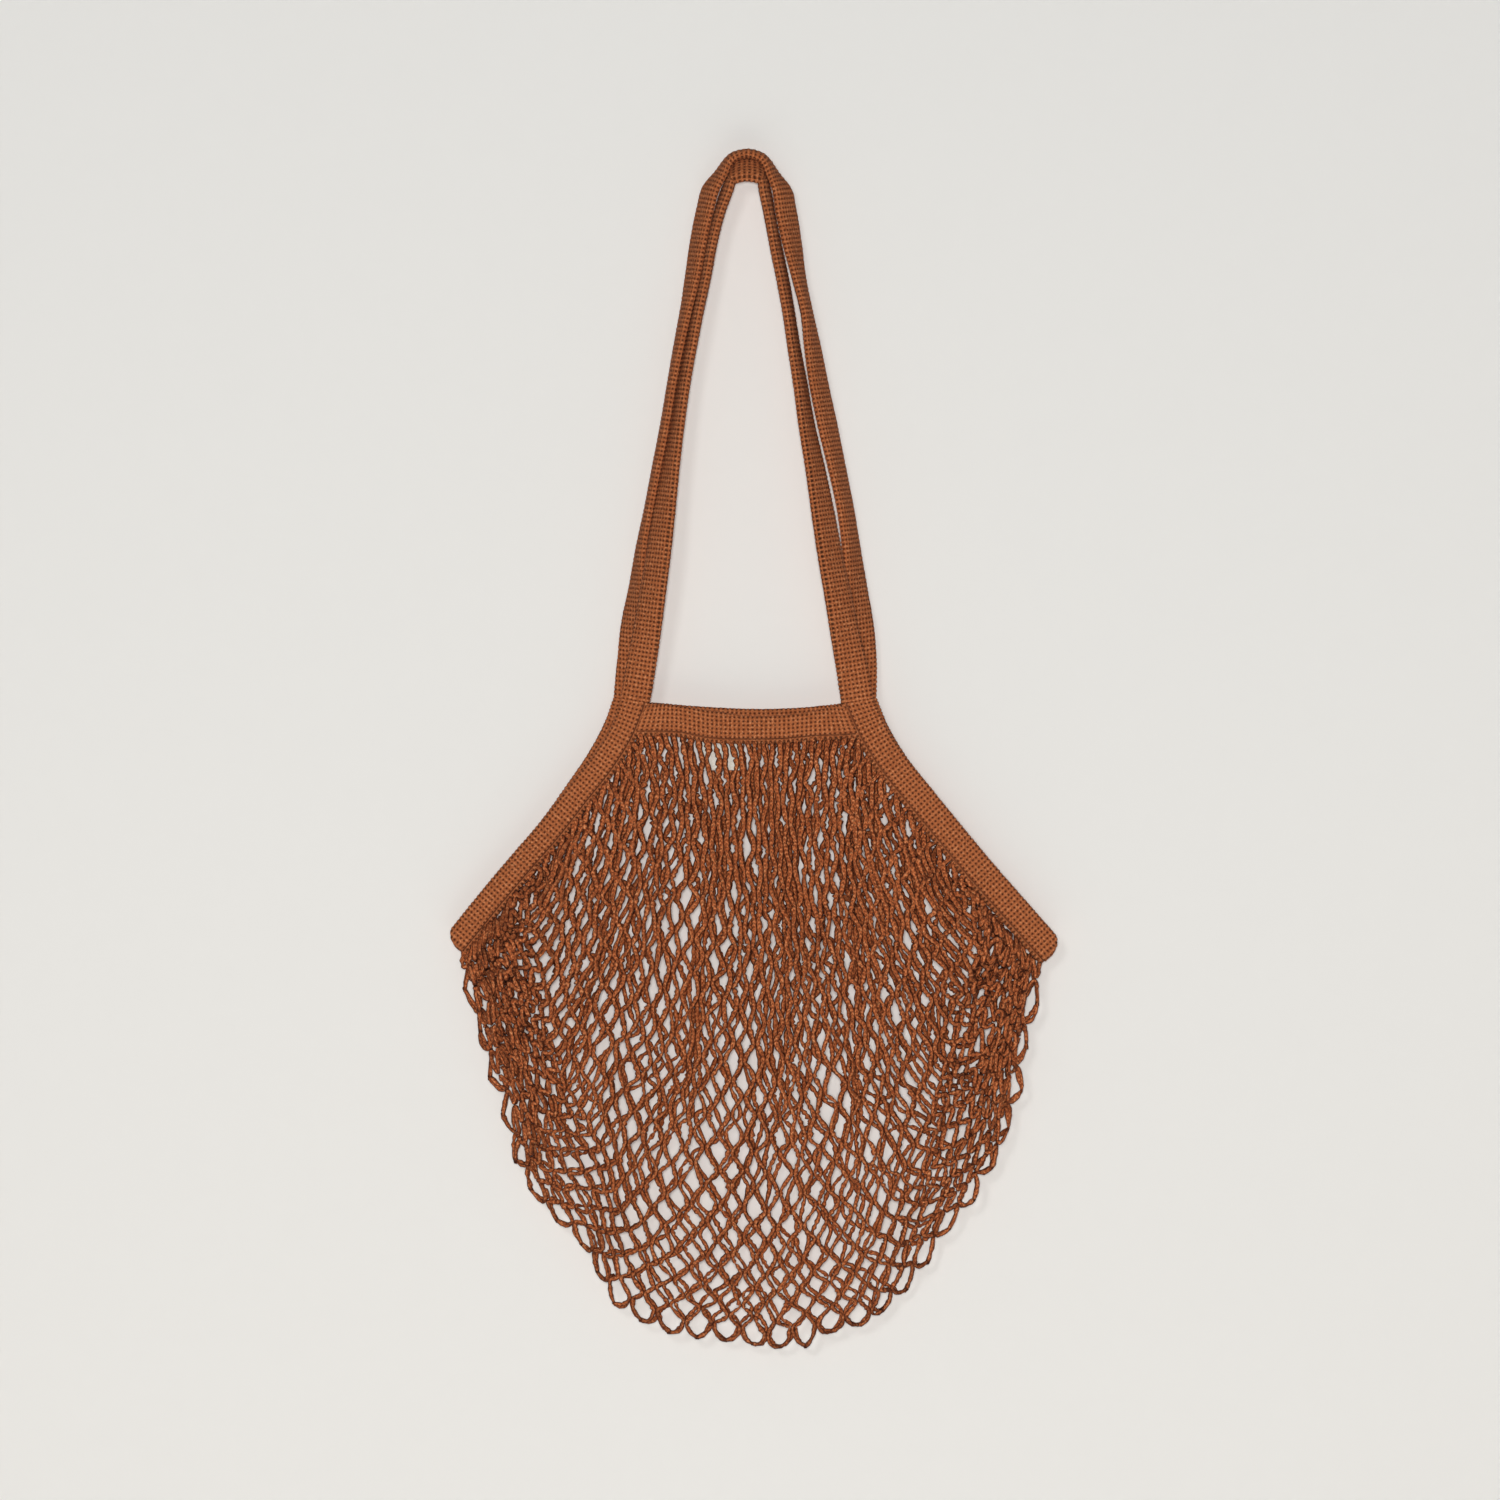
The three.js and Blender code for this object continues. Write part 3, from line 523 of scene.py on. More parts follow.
def add_piece(name, points, faces, caps, uv, groove, material, slot, *nodes):
    """A mesh from points in millimetres, quads and end caps. Per point, uv is in millimetres of yarn and
    groove is 0 to 1."""
    quads = np.concatenate(faces)
    ends = np.concatenate(caps)
    corner = np.concatenate([quads.ravel(), ends.ravel()])
    sizes = np.concatenate([np.full(len(quads), 4), np.full(len(ends), ends.shape[1])])
    mesh = bpy.data.meshes.new(name)
    mesh.vertices.add(len(points))
    mesh.vertices.foreach_set("co", (points * MM).astype(np.float32).ravel())
    mesh.loops.add(len(corner))
    mesh.loops.foreach_set("vertex_index", corner.astype(np.int32))
    mesh.polygons.add(len(sizes))
    mesh.polygons.foreach_set("loop_start", np.concatenate([[0], np.cumsum(sizes)[:-1]]).astype(np.int32))
    mesh.polygons.foreach_set("use_smooth", np.ones(len(sizes), bool))
    mesh.uv_layers.new(name="Yarn")
    mesh.uv_layers["Yarn"].data.foreach_set("uv", uv[corner].astype(np.float32).ravel())
    grooves = mesh.attributes.new("Groove", "FLOAT", "POINT")
    grooves.data.foreach_set("value", groove.astype(np.float32).ravel())
    mesh.update(calc_edges=True)
    mesh.validate()
    piece = bpy.data.objects.new(name, mesh)
    bpy.context.scene.collection.objects.link(piece)
    mesh.materials.append(material)
    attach(piece, "root")
    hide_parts(*nodes)
    return piece


def inner_edge(stations):
    """Line of the band's inner edge, RIM_GRIP inside it: middle - side (width/2 - grip)."""
    return stations[:, :3] - stations[:, 3:6] * (stations[:, 6:7] / 2 - RIM_GRIP)


def drift(a, b, seed):
    """Smooth wandering of about -1 to 1: the sum of sin(2 pi (f a + g b) + p) over n seeded f, g, p, by
    the root of n = DRIFT_WAVES."""
    draw = np.random.default_rng(seed)
    f = draw.uniform(-DRIFT_RATES[0], DRIFT_RATES[0], DRIFT_WAVES)
    g = draw.uniform(-DRIFT_RATES[1], DRIFT_RATES[1], DRIFT_WAVES)
    p = draw.uniform(0, 2 * np.pi, DRIFT_WAVES)
    angle = 2 * np.pi * (f * a[..., None] + g * b[..., None]) + p
    return np.sin(angle).sum(axis=-1) / np.sqrt(DRIFT_WAVES)


class NetSheet:
    """Mid surface of the net over a, 0 at its left and 1 at its right side, and t, counted in rows from
    the front rim over the fold to the back rim."""

    def __init__(self, front, back, left_tip, right_tip):
        self.rims = (front, back)
        outline = np.column_stack([OUTLINE[:, 0] * BODY_WIDTH / 2, np.zeros(len(OUTLINE)),
                                   -HANDLE_DROP - SIDE_DROP - OUTLINE[:, 1] * POUCH_DROP])
        outline = np.concatenate([[left_tip], outline, [right_tip]])
        knots = lengths(outline)
        self.fold = through(knots, outline, np.linspace(0, knots[-1], FOLD_POINTS))

    def rim(self, edges, a):
        """Where the strand at a hangs from: the open part of a side band's edge, or the mouth band's."""
        left, mouth, right = edges
        left_share, right_share = LEFT_STRANDS / STRANDS, 1 - RIGHT_STRANDS / STRANDS
        open_share = 1 - SELVAGE_SHARE

        def read(line, share):
            return read_line(line, np.clip(share, 0, 1).ravel()).reshape(*a.shape, 3)

        on_left = read(left, open_share * (1 - a / left_share))
        on_mouth = read(mouth, (a - left_share) / (right_share - left_share))
        on_right = read(right, open_share * (a - right_share) / (1 - right_share))
        wide = a[..., None]
        return np.where(wide < left_share, on_left, np.where(wide > right_share, on_right, on_mouth))

    def aside(self, a):
        """0 under the mouth band and 1 at the sides, with |2a - 1| the place from the middle to an edge."""
        return smoothstep(*ASIDE, np.abs(2 * a - 1))

    def place(self, a, t):
        """Rim point, fold point, share of the way down and crowding of the rows. Where the way is short,
        the rows hang at their free height, share = n down with n = free length / way, until they are w =
        BUNDLE / way above the fold. There they crowd, share = 1 - w (1 - s)^b, with s running from 0 to 1
        and b between 1 and BUNDLE_BEND. BUNDLED mixes this with even rows, share = down. The last row, r =
        |t - HALF| < 1, bends round as 1 - cos(pi r / 2)."""
        rows = np.abs(t - HALF)
        rows = np.where(rows < 1, 1 - np.cos(np.pi / 2 * rows), rows)
        down = 1 - rows / HALF
        top = np.where((t > HALF)[..., None], self.rim(self.rims[1], a), self.rim(self.rims[0], a))
        spread = np.clip(a + FOLD_SPREAD * np.sin(2 * np.pi * a) / (2 * np.pi), 0, 1)
        bottom = read_line(self.fold, spread.ravel()).reshape(top.shape)
        way = np.linalg.norm(bottom - top, axis=-1)
        sure = smoothstep(0, SELVAGE_FADE, np.minimum(a, 1 - a))
        power = 1 + (np.maximum(HALF * LEG_HANG / way, 1) - 1) * sure
        bundle = np.minimum(BUNDLE / way, 1)
        late = np.clip((power * down - 1 + bundle) / (power - 1 + bundle), 0, 1)
        bend = 1 + (BUNDLE_BEND - 1) * np.clip(power - 1, 0, 1)
        share = np.where(late > 0, 1 - bundle * (1 - late) ** bend, power * down)
        share = down + (share - down) * BUNDLED
        crowd = smoothstep(0, CROWD_RISE, late) * np.clip(power - 1, 0, 1)
        share = share + FOLD_BUNCH * share * (1 - share) * np.clip(2 - power, 0, 1)
        return top, bottom, share, crowd

    def points(self, a, t):
        """From rim to fold, across by share^(1 + STEEP) at the sides and straight elsewhere, with the
        gather x - GATHER_REACH d exp(-d^2 / 2) sin(pi share^GATHER_BEND), d = (a - GATHER_AT) / GATHER_SPAN.
        In depth the belly grows by sin(pi share / 2 BULGE_AT) and closes by the root of 1 -
        share^FOLD_POWER. The layers wander together at the sides, and the loops stand out there."""
        top, bottom, share, crowd = self.place(a, t)
        behind = t > HALF
        points = top + (bottom - top) * share[..., None]
        steep = STEEP * self.aside(a) * smoothstep(0, SELVAGE_FADE, np.minimum(a, 1 - a))
        points[..., 0] = top[..., 0] + (bottom[..., 0] - top[..., 0]) * share ** (1 + steep)
        off = (a - GATHER_AT) / GATHER_SPAN
        points[..., 0] -= GATHER_REACH * off * np.exp(-off * off / 2) * np.sin(np.pi * share**GATHER_BEND)
        belly = np.sin(np.pi / 2 * np.clip(share / BULGE_AT, 0, 1))
        closing = np.sqrt(np.clip(1 - share**FOLD_POWER, 0, 1))
        sides = np.sqrt(np.clip(1 - np.abs(2 * a - 1) ** EDGE_POWER, 0, 1))
        bulge = np.where(behind, BACK_BULGE, -FRONT_BULGE) * sides
        points[..., 1] = closing * (top[..., 1] + (bulge - top[..., 1]) * belly)
        loose = smoothstep(0, DRIFT_FADE, share)
        down = 1 - np.abs(t / HALF - 1)
        wander_at = down + (t / HALF - down) * (1 - self.aside(a))
        for axis, reach in enumerate(DRIFT_REACH):
            points[..., axis] += reach * loose * drift(a, wander_at, DRIFT_SEED + axis)
        outward = unit((points - np.array(NET_CENTRE)) * (1 - BACK))
        hem = np.clip(1 - np.abs(t - HALF), 0, 1)
        return points + outward * ((LOOP_REACH * crowd + HEM_DROP * hem) * hem)[..., None]


def carried(tangent, start):
    """Ring directions carried along each cord without twist: n = unit(n - t (n.t)) from ring to ring."""
    normal = np.empty_like(tangent)
    last = np.broadcast_to(start, tangent[:, 0].shape)
    for index in range(tangent.shape[1]):
        here = tangent[:, index]
        last = unit(last - here * (last * here).sum(axis=-1, keepdims=True))
        normal[:, index] = last
    return normal


def swing_of(k, t, row, part):
    """Sideways swing z of strand k at t, and how far it has passed from its last node to its next one.
    z runs between +1 and -1 from row to row, opposite for neighbours, by 3p^2 - 2p^3, and next to the fold
    as 1 - 2 sin(pi r / 2), which with the rows' own bend makes round loops. It starts from 0 where a
    strand hangs from a mouth band."""
    ease = part * part * (3 - 2 * part)
    ease = np.where(row == HALF - 1, 1 - np.cos(np.pi / 2 * part), ease)
    ease = np.where(row == HALF, np.sin(np.pi / 2 * part), ease)
    on_mouth = (k >= LEFT_STRANDS) & (k < STRANDS - RIGHT_STRANDS)
    single = np.where(on_mouth, smoothstep(0, 1, np.minimum(t, LEGS - t)), 1)
    return (1 - 2 * ((k + row) % 2)) * (1 - 2 * ease) * single, ease


def out_of_step(a, t):
    """Place in the net after the rear layer has wandered out of step with the front one: strands and rows
    are moved by REGISTER drift and by REGISTER_SHIFT, which both fade at the fold."""
    above = (t - HALF) / HALF
    apart = smoothstep(0, REGISTER_RISE[0], above) * smoothstep(0, REGISTER_RISE[1], (LEGS - t) / HALF)
    uneven = REGISTER_LEAST + (1 - REGISTER_LEAST) * smoothstep(*REGISTER_SIDE, a)
    shifted = smoothstep(*SHIFT_RISE, above)
    across_by = REGISTER * apart * drift(a, t / HALF, REGISTER_SEED) + REGISTER_SHIFT[0] * shifted
    down_by = REGISTER * drift(a, t / HALF, REGISTER_SEED + 1) + REGISTER_SHIFT[1] * shifted
    return np.clip(a + uneven * across_by / STRANDS, 0, 1), t + uneven * apart * down_by


def loosened(draw, k, row, part, ease, crowd):
    """Seeded movement of nodes, mixed by ease from one node to the next, and of the cords between them,
    which bow by sin(pi part). Both grow with the crowding."""
    jitter = np.clip(draw.normal(0, 1, (LEGS + 1, STRANDS + 1, 3)), -JITTER_MOST, JITTER_MOST)
    jitter[0] = jitter[-1] = 0
    odd = (k + row) % 2
    moved = (jitter[row, k + 1 - odd] * (1 - ease)[..., None]
             + jitter[row + 1, k + odd] * ease[..., None])
    moved = moved * (np.array(NODE_JITTER) + np.array(CROWD_JITTER) * crowd[..., None])
    bow = draw.normal(0, 1, (STRANDS, LEGS, 3)) * np.array(LEG_BOW)
    bowed = bow[k, row] * np.sin(np.pi * part)[..., None] * (1 + CROWD_BOW * crowd)[..., None]
    return moved, bowed


def net_strands(sheet):
    """Centre lines, ring directions and radii of all strands. Strand k stands at a = (k + 1/2 + z/2) /
    STRANDS with its swing z, so that neighbours meet side by side at every second row. Their radius is
    RIM_RADIUS at the rim and FOLD_RADIUS at the fold, mixed by (1 - down)^RADIUS_BEND."""
    draw = np.random.default_rng(NET_SEED)
    k = np.arange(STRANDS)[:, None]
    t = np.arange(LEGS * SAMPLES_PER_LEG + 1)[None] / SAMPLES_PER_LEG
    row = np.minimum(np.floor(t).astype(int), LEGS - 1)
    part = t - row
    swing, ease = swing_of(k, t, row, part)
    t = np.repeat(t, STRANDS, axis=0)
    a, t_there = out_of_step((k + 0.5 + 0.5 * swing) / STRANDS, t)
    here = sheet.points(a, t_there)
    across = unit(sheet.points(a + NEARBY / STRANDS, t_there) - sheet.points(a - NEARBY / STRANDS, t_there))
    crowd = sheet.place(a, t_there)[3]
    moved, bowed = loosened(draw, k, row, part, ease, crowd)
    down = 1 - np.abs(t - HALF) / HALF
    radius = FOLD_RADIUS + (RIM_RADIUS - FOLD_RADIUS) * (1 - down) ** RADIUS_BEND
    radius = radius * (1 + CORD_UNEVEN * draw.normal(0, 1, radius.shape))
    hem = np.clip(1 - np.abs(t - HALF), 0, 1)
    aside = radius * NODE_SHARE * swing * (1 - HEM_HOOK * hem * hem)
    middle = here - across * aside[..., None] + moved + bowed
    gradient = np.concatenate([middle[:, 1:2] - middle[:, :1], middle[:, 2:] - middle[:, :-2],
                               middle[:, -1:] - middle[:, -2:-1]], axis=1)
    tangent = unit(gradient)
    normal = carried(tangent, BACK)
    return middle, np.cross(tangent, normal), normal, radius


def cords(middle, side, normal, radius):
    """Tubes round centre lines [strand, sample, 3]: middle + r (side cos q + normal sin q), with uv in
    millimetres round and along the cord."""
    angle = 2 * np.pi * np.arange(CORD_SIDES) / CORD_SIDES
    ring = (side[:, :, None] * np.cos(angle)[:, None] + normal[:, :, None] * np.sin(angle)[:, None])
    points = middle[:, :, None] + ring * radius[..., None, None]
    run = np.linalg.norm(np.diff(middle, axis=1), axis=2)
    run = np.concatenate([np.zeros((len(middle), 1)), np.cumsum(run, axis=1)], axis=1)
    around = np.broadcast_to(angle * RIM_RADIUS, points.shape[:3])
    uv = np.stack([around, np.broadcast_to(run[..., None], points.shape[:3])], axis=-1)
    faces, caps = [], []
    for index in range(len(middle)):
        quads, ends = tube_faces(middle.shape[1], CORD_SIDES, index * middle.shape[1] * CORD_SIDES)
        faces.append(quads)
        caps.append(ends)
    return points.reshape(-1, 3), faces, caps, uv.reshape(-1, 2)


class Nodes:
    """Adds nodes to a node tree and links them; a value that is a socket is linked, others are set."""

    def __init__(self, tree):
        self.tree = tree

    def give(self, node, inputs):
        """Sets or links a node's inputs, by name or number."""
        for key, value in inputs.items():
            if isinstance(value, bpy.types.NodeSocket):
                self.tree.links.new(value, node.inputs[key])
            else:
                node.inputs[key].default_value = value

    def add(self, kind, inputs=None, **settings):
        """A new node of a kind with its settings and inputs."""
        node = self.tree.nodes.new(kind)
        for key, value in settings.items():
            setattr(node, key, value)
        self.give(node, inputs or {})
        return node

    def math(self, operation, *values):
        """Result of an operation on the values."""
        return self.add("ShaderNodeMath", dict(enumerate(values)), operation=operation).outputs[0]

    def mix(self, factor, low, high):
        """Colour from low to high by the factor. The node's sockets for colours have the numbers 6 and 7,
        and its result for them has the number 2."""
        return self.add("ShaderNodeMix", {0: factor, 6: low, 7: high}, data_type="RGBA").outputs[2]

    def ramp(self, value, *stops):
        """Grey level of a value, straight between two stops."""
        node = self.add("ShaderNodeValToRGB", {0: value})
        for element, (place, level) in zip(node.color_ramp.elements, stops):
            element.position = place
            element.color = (level, level, level, 1)
        return node.outputs[0]


def colour(red, green, blue):
    """An sRGB colour, 0 to 255, as the linear one that a shader takes: c / 12.92 for the shares c up to
    0.04045, and ((c + 0.055) / 1.055)^2.4 above."""
    share = np.array([red, green, blue]) / 255
    linear = np.where(share <= 0.04045, share / 12.92, ((share + 0.055) / 1.055) ** 2.4)
    return (*map(float, linear), 1.0)


def fibre_group():
    """Cotton fibre: Colour is the yarn with its dark and its light fibres, by a fine noise in object
    space, evened out in patches by a broad one. Height is the fine noise."""
    group = bpy.data.node_groups.new("cotton_fibre", "ShaderNodeTree")
    for name in ("Yarn", "Dark", "Light"):
        group.interface.new_socket(name=name, in_out="INPUT", socket_type="NodeSocketColor")
    group.interface.new_socket(name="Fibre", in_out="INPUT", socket_type="NodeSocketFloat")
    group.interface.new_socket(name="Colour", in_out="OUTPUT", socket_type="NodeSocketColor")
    group.interface.new_socket(name="Height", in_out="OUTPUT", socket_type="NodeSocketFloat")
    nodes = Nodes(group)
    given = nodes.add("NodeGroupInput").outputs
    place = nodes.add("ShaderNodeTexCoord").outputs["Object"]
    fine = nodes.add("ShaderNodeTexNoise", {"Vector": place, "Scale": given["Fibre"], "Detail": FIBRE_DETAIL,
                                            "Roughness": FIBRE_ROUGHNESS}).outputs["Fac"]
    broad = nodes.add("ShaderNodeTexNoise", {"Vector": place, "Scale": PATCH_SCALE,
                                             "Detail": PATCH_DETAIL}).outputs["Fac"]
    mottled = nodes.mix(nodes.ramp(fine, *DARK_FIBRES), given["Dark"], given["Yarn"])
    flecked = nodes.mix(nodes.ramp(fine, *LIGHT_FIBRES), mottled, given["Light"])
    evened = nodes.mix(nodes.ramp(broad, *PATCHES), flecked, given["Yarn"])
    nodes.add("NodeGroupOutput", {"Colour": evened, "Height": fine})
    return group


def stitch_group():
    """Stitches on the Yarn UV map, in millimetres: valleys between the courses, cos^2(pi (v + Slant p) /
    Course), and pits between the stitches of a course, p = cos^2(pi u / Stitch). Mask, the valley times
    1 - Pit + Pit p, is 1 in the pits and in the border's groove, where the materials paint shade by it.
    Height is 1 - Mask."""
    group = bpy.data.node_groups.new("stitches", "ShaderNodeTree")
    for name in ("Course", "Stitch", "Slant", "Pit"):
        group.interface.new_socket(name=name, in_out="INPUT", socket_type="NodeSocketFloat")
    for name in ("Mask", "Height"):
        group.interface.new_socket(name=name, in_out="OUTPUT", socket_type="NodeSocketFloat")
    nodes = Nodes(group)
    given = nodes.add("NodeGroupInput").outputs
    place = nodes.add("ShaderNodeUVMap", uv_map="Yarn").outputs["UV"]
    u, v = nodes.add("ShaderNodeSeparateXYZ", {"Vector": place}).outputs[:2]

    def squared_cosine(length, pitch):
        turn = nodes.math("MULTIPLY", nodes.math("DIVIDE", length, pitch), np.pi)
        wave = nodes.math("COSINE", turn)
        return nodes.math("MULTIPLY", wave, wave)

    pit = squared_cosine(u, given["Stitch"])
    leant = nodes.math("ADD", v, nodes.math("MULTIPLY", given["Slant"], pit))
    valley = squared_cosine(leant, given["Course"])
    least = nodes.math("SUBTRACT", 1.0, given["Pit"])
    depth = nodes.math("ADD", least, nodes.math("MULTIPLY", given["Pit"], pit))
    groove = nodes.add("ShaderNodeAttribute", attribute_name="Groove").outputs["Fac"]
    mask = nodes.math("MAXIMUM", nodes.math("MULTIPLY", valley, depth), groove)
    nodes.add("NodeGroupOutput", {"Mask": mask, "Height": nodes.math("SUBTRACT", 1.0, mask)})
    return group


FIBRE_GROUP = fibre_group()
STITCH_GROUP = stitch_group()


def cotton(name, fibre, stitches, pit, pit_shade, stitch_relief, fibre_relief, sheen, rim=0.0):
    """Matt cotton from the inputs of both groups: the fibre's colour with painted shade, mixed towards the
    tone pit by a share of the stitches' Mask in their pits and groove and, up to the share rim, where the
    yarn turns away from the viewer. Stitches and fibre are also bump, with their relief in millimetres."""
    material = bpy.data.materials.new(name)
    material.use_nodes = True
    nodes = Nodes(material.node_tree)
    yarn = nodes.add("ShaderNodeGroup", fibre, node_tree=FIBRE_GROUP).outputs
    knots = nodes.add("ShaderNodeGroup", stitches, node_tree=STITCH_GROUP).outputs
    # Painted shade: the stitches' pits and the border's groove are darkened towards the tone pit.
    tone = nodes.mix(nodes.math("MULTIPLY", knots["Mask"], pit_shade), yarn["Colour"], pit)
    # Painted shade: where the yarn turns away from the viewer it is darkened towards pit, by up to the share
    # rim.
    turned = nodes.add("ShaderNodeLayerWeight", {"Blend": 0.5}).outputs["Facing"]
    tone = nodes.mix(nodes.ramp(turned, (EDGE_SHADE_FROM, 0.0), (EDGE_SHADE_TO, rim)), tone, pit)
    ribs = nodes.add("ShaderNodeBump", {"Height": knots["Height"], "Distance": stitch_relief * MM,
                                        "Strength": 1.0}).outputs[0]
    hairs = nodes.add("ShaderNodeBump", {"Height": yarn["Height"], "Distance": fibre_relief * MM,
                                         "Strength": 1.0, "Normal": ribs}).outputs[0]
    nodes.give(material.node_tree.nodes["Principled BSDF"], {
        "Base Color": tone, "Normal": hairs, "Sheen Weight": sheen, "Sheen Tint": colour(226, 168, 122),
        **COTTON_SURFACE})
    return material


def tape_cotton():
    """Rust brown yarn of the knitted tapes, with their courses and stitches, painted shade in their pits and
    in the border's groove, and faint painted shade at their edges.
    """
    fibre = {"Yarn": colour(187, 107, 62), "Dark": colour(148, 80, 42), "Light": colour(214, 144, 97),
             "Fibre": 800.0}
    stitches = {"Course": COURSE, "Stitch": COLUMN, "Slant": 0.0, "Pit": 0.8}
    return cotton("knitted_cotton", fibre, stitches, pit=colour(58, 20, 7), pit_shade=1.0,
                  stitch_relief=0.5, fibre_relief=0.3, sheen=0.05, rim=0.12)


def net_cotton():
    """Rust brown string, whose slanting stitches read as its twist, with painted shade in its pits and
    strong painted shade at its edges.
    """
    fibre = {"Yarn": colour(216, 120, 68), "Dark": colour(136, 63, 29), "Light": colour(240, 166, 114),
             "Fibre": 620.0}
    stitches = {"Course": 2.4, "Stitch": 2.0, "Slant": 1.2, "Pit": 0.6}
    return cotton("net_cotton", fibre, stitches, pit=colour(58, 16, 6), pit_shade=0.6,
                  stitch_relief=0.5, fibre_relief=0.5, sheen=0.0, rim=0.8)


def label_cotton():
    """Off-white cloth with a fine, shallow weave, and faint painted shade in its pits."""
    fibre = {"Yarn": colour(244, 239, 230), "Dark": colour(228, 221, 208), "Light": colour(250, 247, 240),
             "Fibre": 1100.0}
    stitches = {"Course": 0.9, "Stitch": 0.9, "Slant": 0.0, "Pit": 0.5}
    return cotton("label_cotton", fibre, stitches, pit=colour(206, 196, 180), pit_shade=0.3,
                  stitch_relief=0.08, fibre_relief=0.03, sheen=0.1)


def bag_lines():
    """Stations of every tape, by the node that it replaces, and the sheet of the net that hangs from the
    inner edges of the bands. Handles and side bands follow each other round one loop."""
    front_handle, rear_handle = handle_stations()
    left_front, left_turn, left_rear = side_stations(LEFT_SLANT, front_handle[0])
    right_front, right_turn, right_rear = side_stations(RIGHT_SLANT, front_handle[-1])
    front_mouth = mouth_stations(FRONT_MOUTH, front_handle[0], left_front[0], front_handle[-1],
                                 right_front[0], SEAM_SINK - LAYER_OFFSET)
    back_mouth = mouth_stations(BACK_MOUTH, rear_handle[0], left_rear[0], rear_handle[-1],
                                right_rear[0], LAYER_OFFSET - SEAM_SINK)
    tapes = {
        "front_handle": front_handle,
        "right_side_band": np.concatenate([front_handle[-1:], right_front, right_turn,
                                           right_rear[::-1], rear_handle[-1:]]),
        "back_handle": rear_handle[::-1],
        "left_side_band": np.concatenate([rear_handle[:1], left_rear, left_turn[::-1],
                                          left_front[::-1], front_handle[:1]]),
        "front_mouth_band": front_mouth,
        "back_mouth_band": back_mouth,
    }
    front_rim = (inner_edge(left_front), inner_edge(front_mouth), inner_edge(right_front))
    back_rim = (inner_edge(left_rear), inner_edge(back_mouth), inner_edge(right_rear))
    left_tip = inner_edge(left_turn)[len(left_turn) // 2]
    right_tip = inner_edge(right_turn)[len(right_turn) // 2]
    return tapes, NetSheet(front_rim, back_rim, left_tip, right_tip)


def build_tape(node, stations, material):
    """One knitted tape in place of its node. The bands have a border and the handles have none."""
    points, uv, groove = tape_surface(stations, float("band" in node))
    quads, ends = tube_faces(*points.shape[:2])
    add_piece("knitted_" + node, points.reshape(-1, 3), [quads], [ends], uv.reshape(-1, 2), groove,
              material, "knitted_tape", node)


def build_net(node, strands, part, material):
    """One layer of the net in place of its node: that part of every strand between a rim and the fold."""
    points, faces, caps, uv = cords(*(values[:, part] for values in strands))
    add_piece("corded_" + node, points, faces, caps, uv, np.zeros(len(points)), material, "cotton_net",
              node)


def build_label(material):
    """The label in the box of its node, a thin strip carried down. Its section is x = w/2 cos q and
    y = d/2 sin q, with the cosine to the power LABEL_SQUARE, the sine to LABEL_ROUND and their signs kept.
    It is curled by LABEL_CURL sin(pi share) sin(pi x / w)."""
    low, high = (np.array(corner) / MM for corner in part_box("label"))
    shape = (LABEL_RINGS, LABEL_POINTS)
    width = high[0] - low[0]
    share = np.linspace(0, 1, LABEL_RINGS)
    angle = np.linspace(0, 2 * np.pi, LABEL_POINTS, endpoint=False)
    sin, cos = np.sin(angle), np.cos(angle)
    x = (low[0] + high[0]) / 2 + width / 2 * np.sign(cos) * np.abs(cos) ** LABEL_SQUARE
    y = (high[1] - low[1]) / 2 * np.sign(sin) * np.abs(sin) ** LABEL_ROUND
    z = high[2] + (low[2] - high[2]) * share
    curl = LABEL_CURL * np.sin(np.pi * share)[:, None] * np.sin(np.pi * (x - low[0]) / width)
    points = np.stack([np.broadcast_to(x, shape), (low[1] + high[1]) / 2 + y - curl,
                       np.broadcast_to(z[:, None], shape)], axis=-1)
    uv = np.stack([points[..., 0], points[..., 2]], axis=-1)
    quads, ends = tube_faces(*shape)
    add_piece("woven_label", points.reshape(-1, 3), [quads], [ends], uv.reshape(-1, 2), np.zeros(shape),
              material, "label_cotton", "label")


def plane(name, start, across, up, material):
    """A flat face with the corners start, start + across, start + across + up and start + up."""
    start, across, up = np.array(start), np.array(across), np.array(up)
    corners = np.array([start, start + across, start + across + up, start + up]) * MM
    mesh = bpy.data.meshes.new(name)
    mesh.from_pydata(corners.tolist(), [], [(0, 1, 2, 3)])
    piece = bpy.data.objects.new(name, mesh)
    bpy.context.scene.collection.objects.link(piece)
    mesh.materials.append(material)
    return piece


def plaster(name, tone, lit_foot_tone, one_sided):
    """Matt pale paint, tone at the upper height and the foot's tone at the lower one; on the wall the foot's
    tone is lighter, painted light that brightens it downwards. A one-sided wall can't be seen from behind
    and lets the lamps there through."""
    material = bpy.data.materials.new(name)
    material.use_nodes = True
    nodes = Nodes(material.node_tree)
    shader = material.node_tree.nodes["Principled BSDF"]
    place = nodes.add("ShaderNodeTexCoord").outputs["Object"]
    height = nodes.add("ShaderNodeSeparateXYZ", {"Vector": place}).outputs["Z"]
    painted_light_share = nodes.add("ShaderNodeMapRange", {"Value": height, "From Min": PAINTED_LIGHT_TOP * MM,
                                             "From Max": PAINTED_LIGHT_FOOT * MM}).outputs["Result"]
    nodes.give(shader, {"Base Color": nodes.mix(painted_light_share, tone, lit_foot_tone), **PAINT_SURFACE})
    if one_sided:
        behind = nodes.add("ShaderNodeNewGeometry").outputs["Backfacing"]
        to_lamp = nodes.add("ShaderNodeLightPath").outputs["Is Shadow Ray"]
        clear = nodes.add("ShaderNodeBsdfTransparent").outputs[0]
        mixed = nodes.add("ShaderNodeMixShader", {0: nodes.math("MAXIMUM", behind, to_lamp),
                                                  1: shader.outputs[0], 2: clear}).outputs[0]
        nodes.give(material.node_tree.nodes["Material Output"], {"Surface": mixed})
    return material


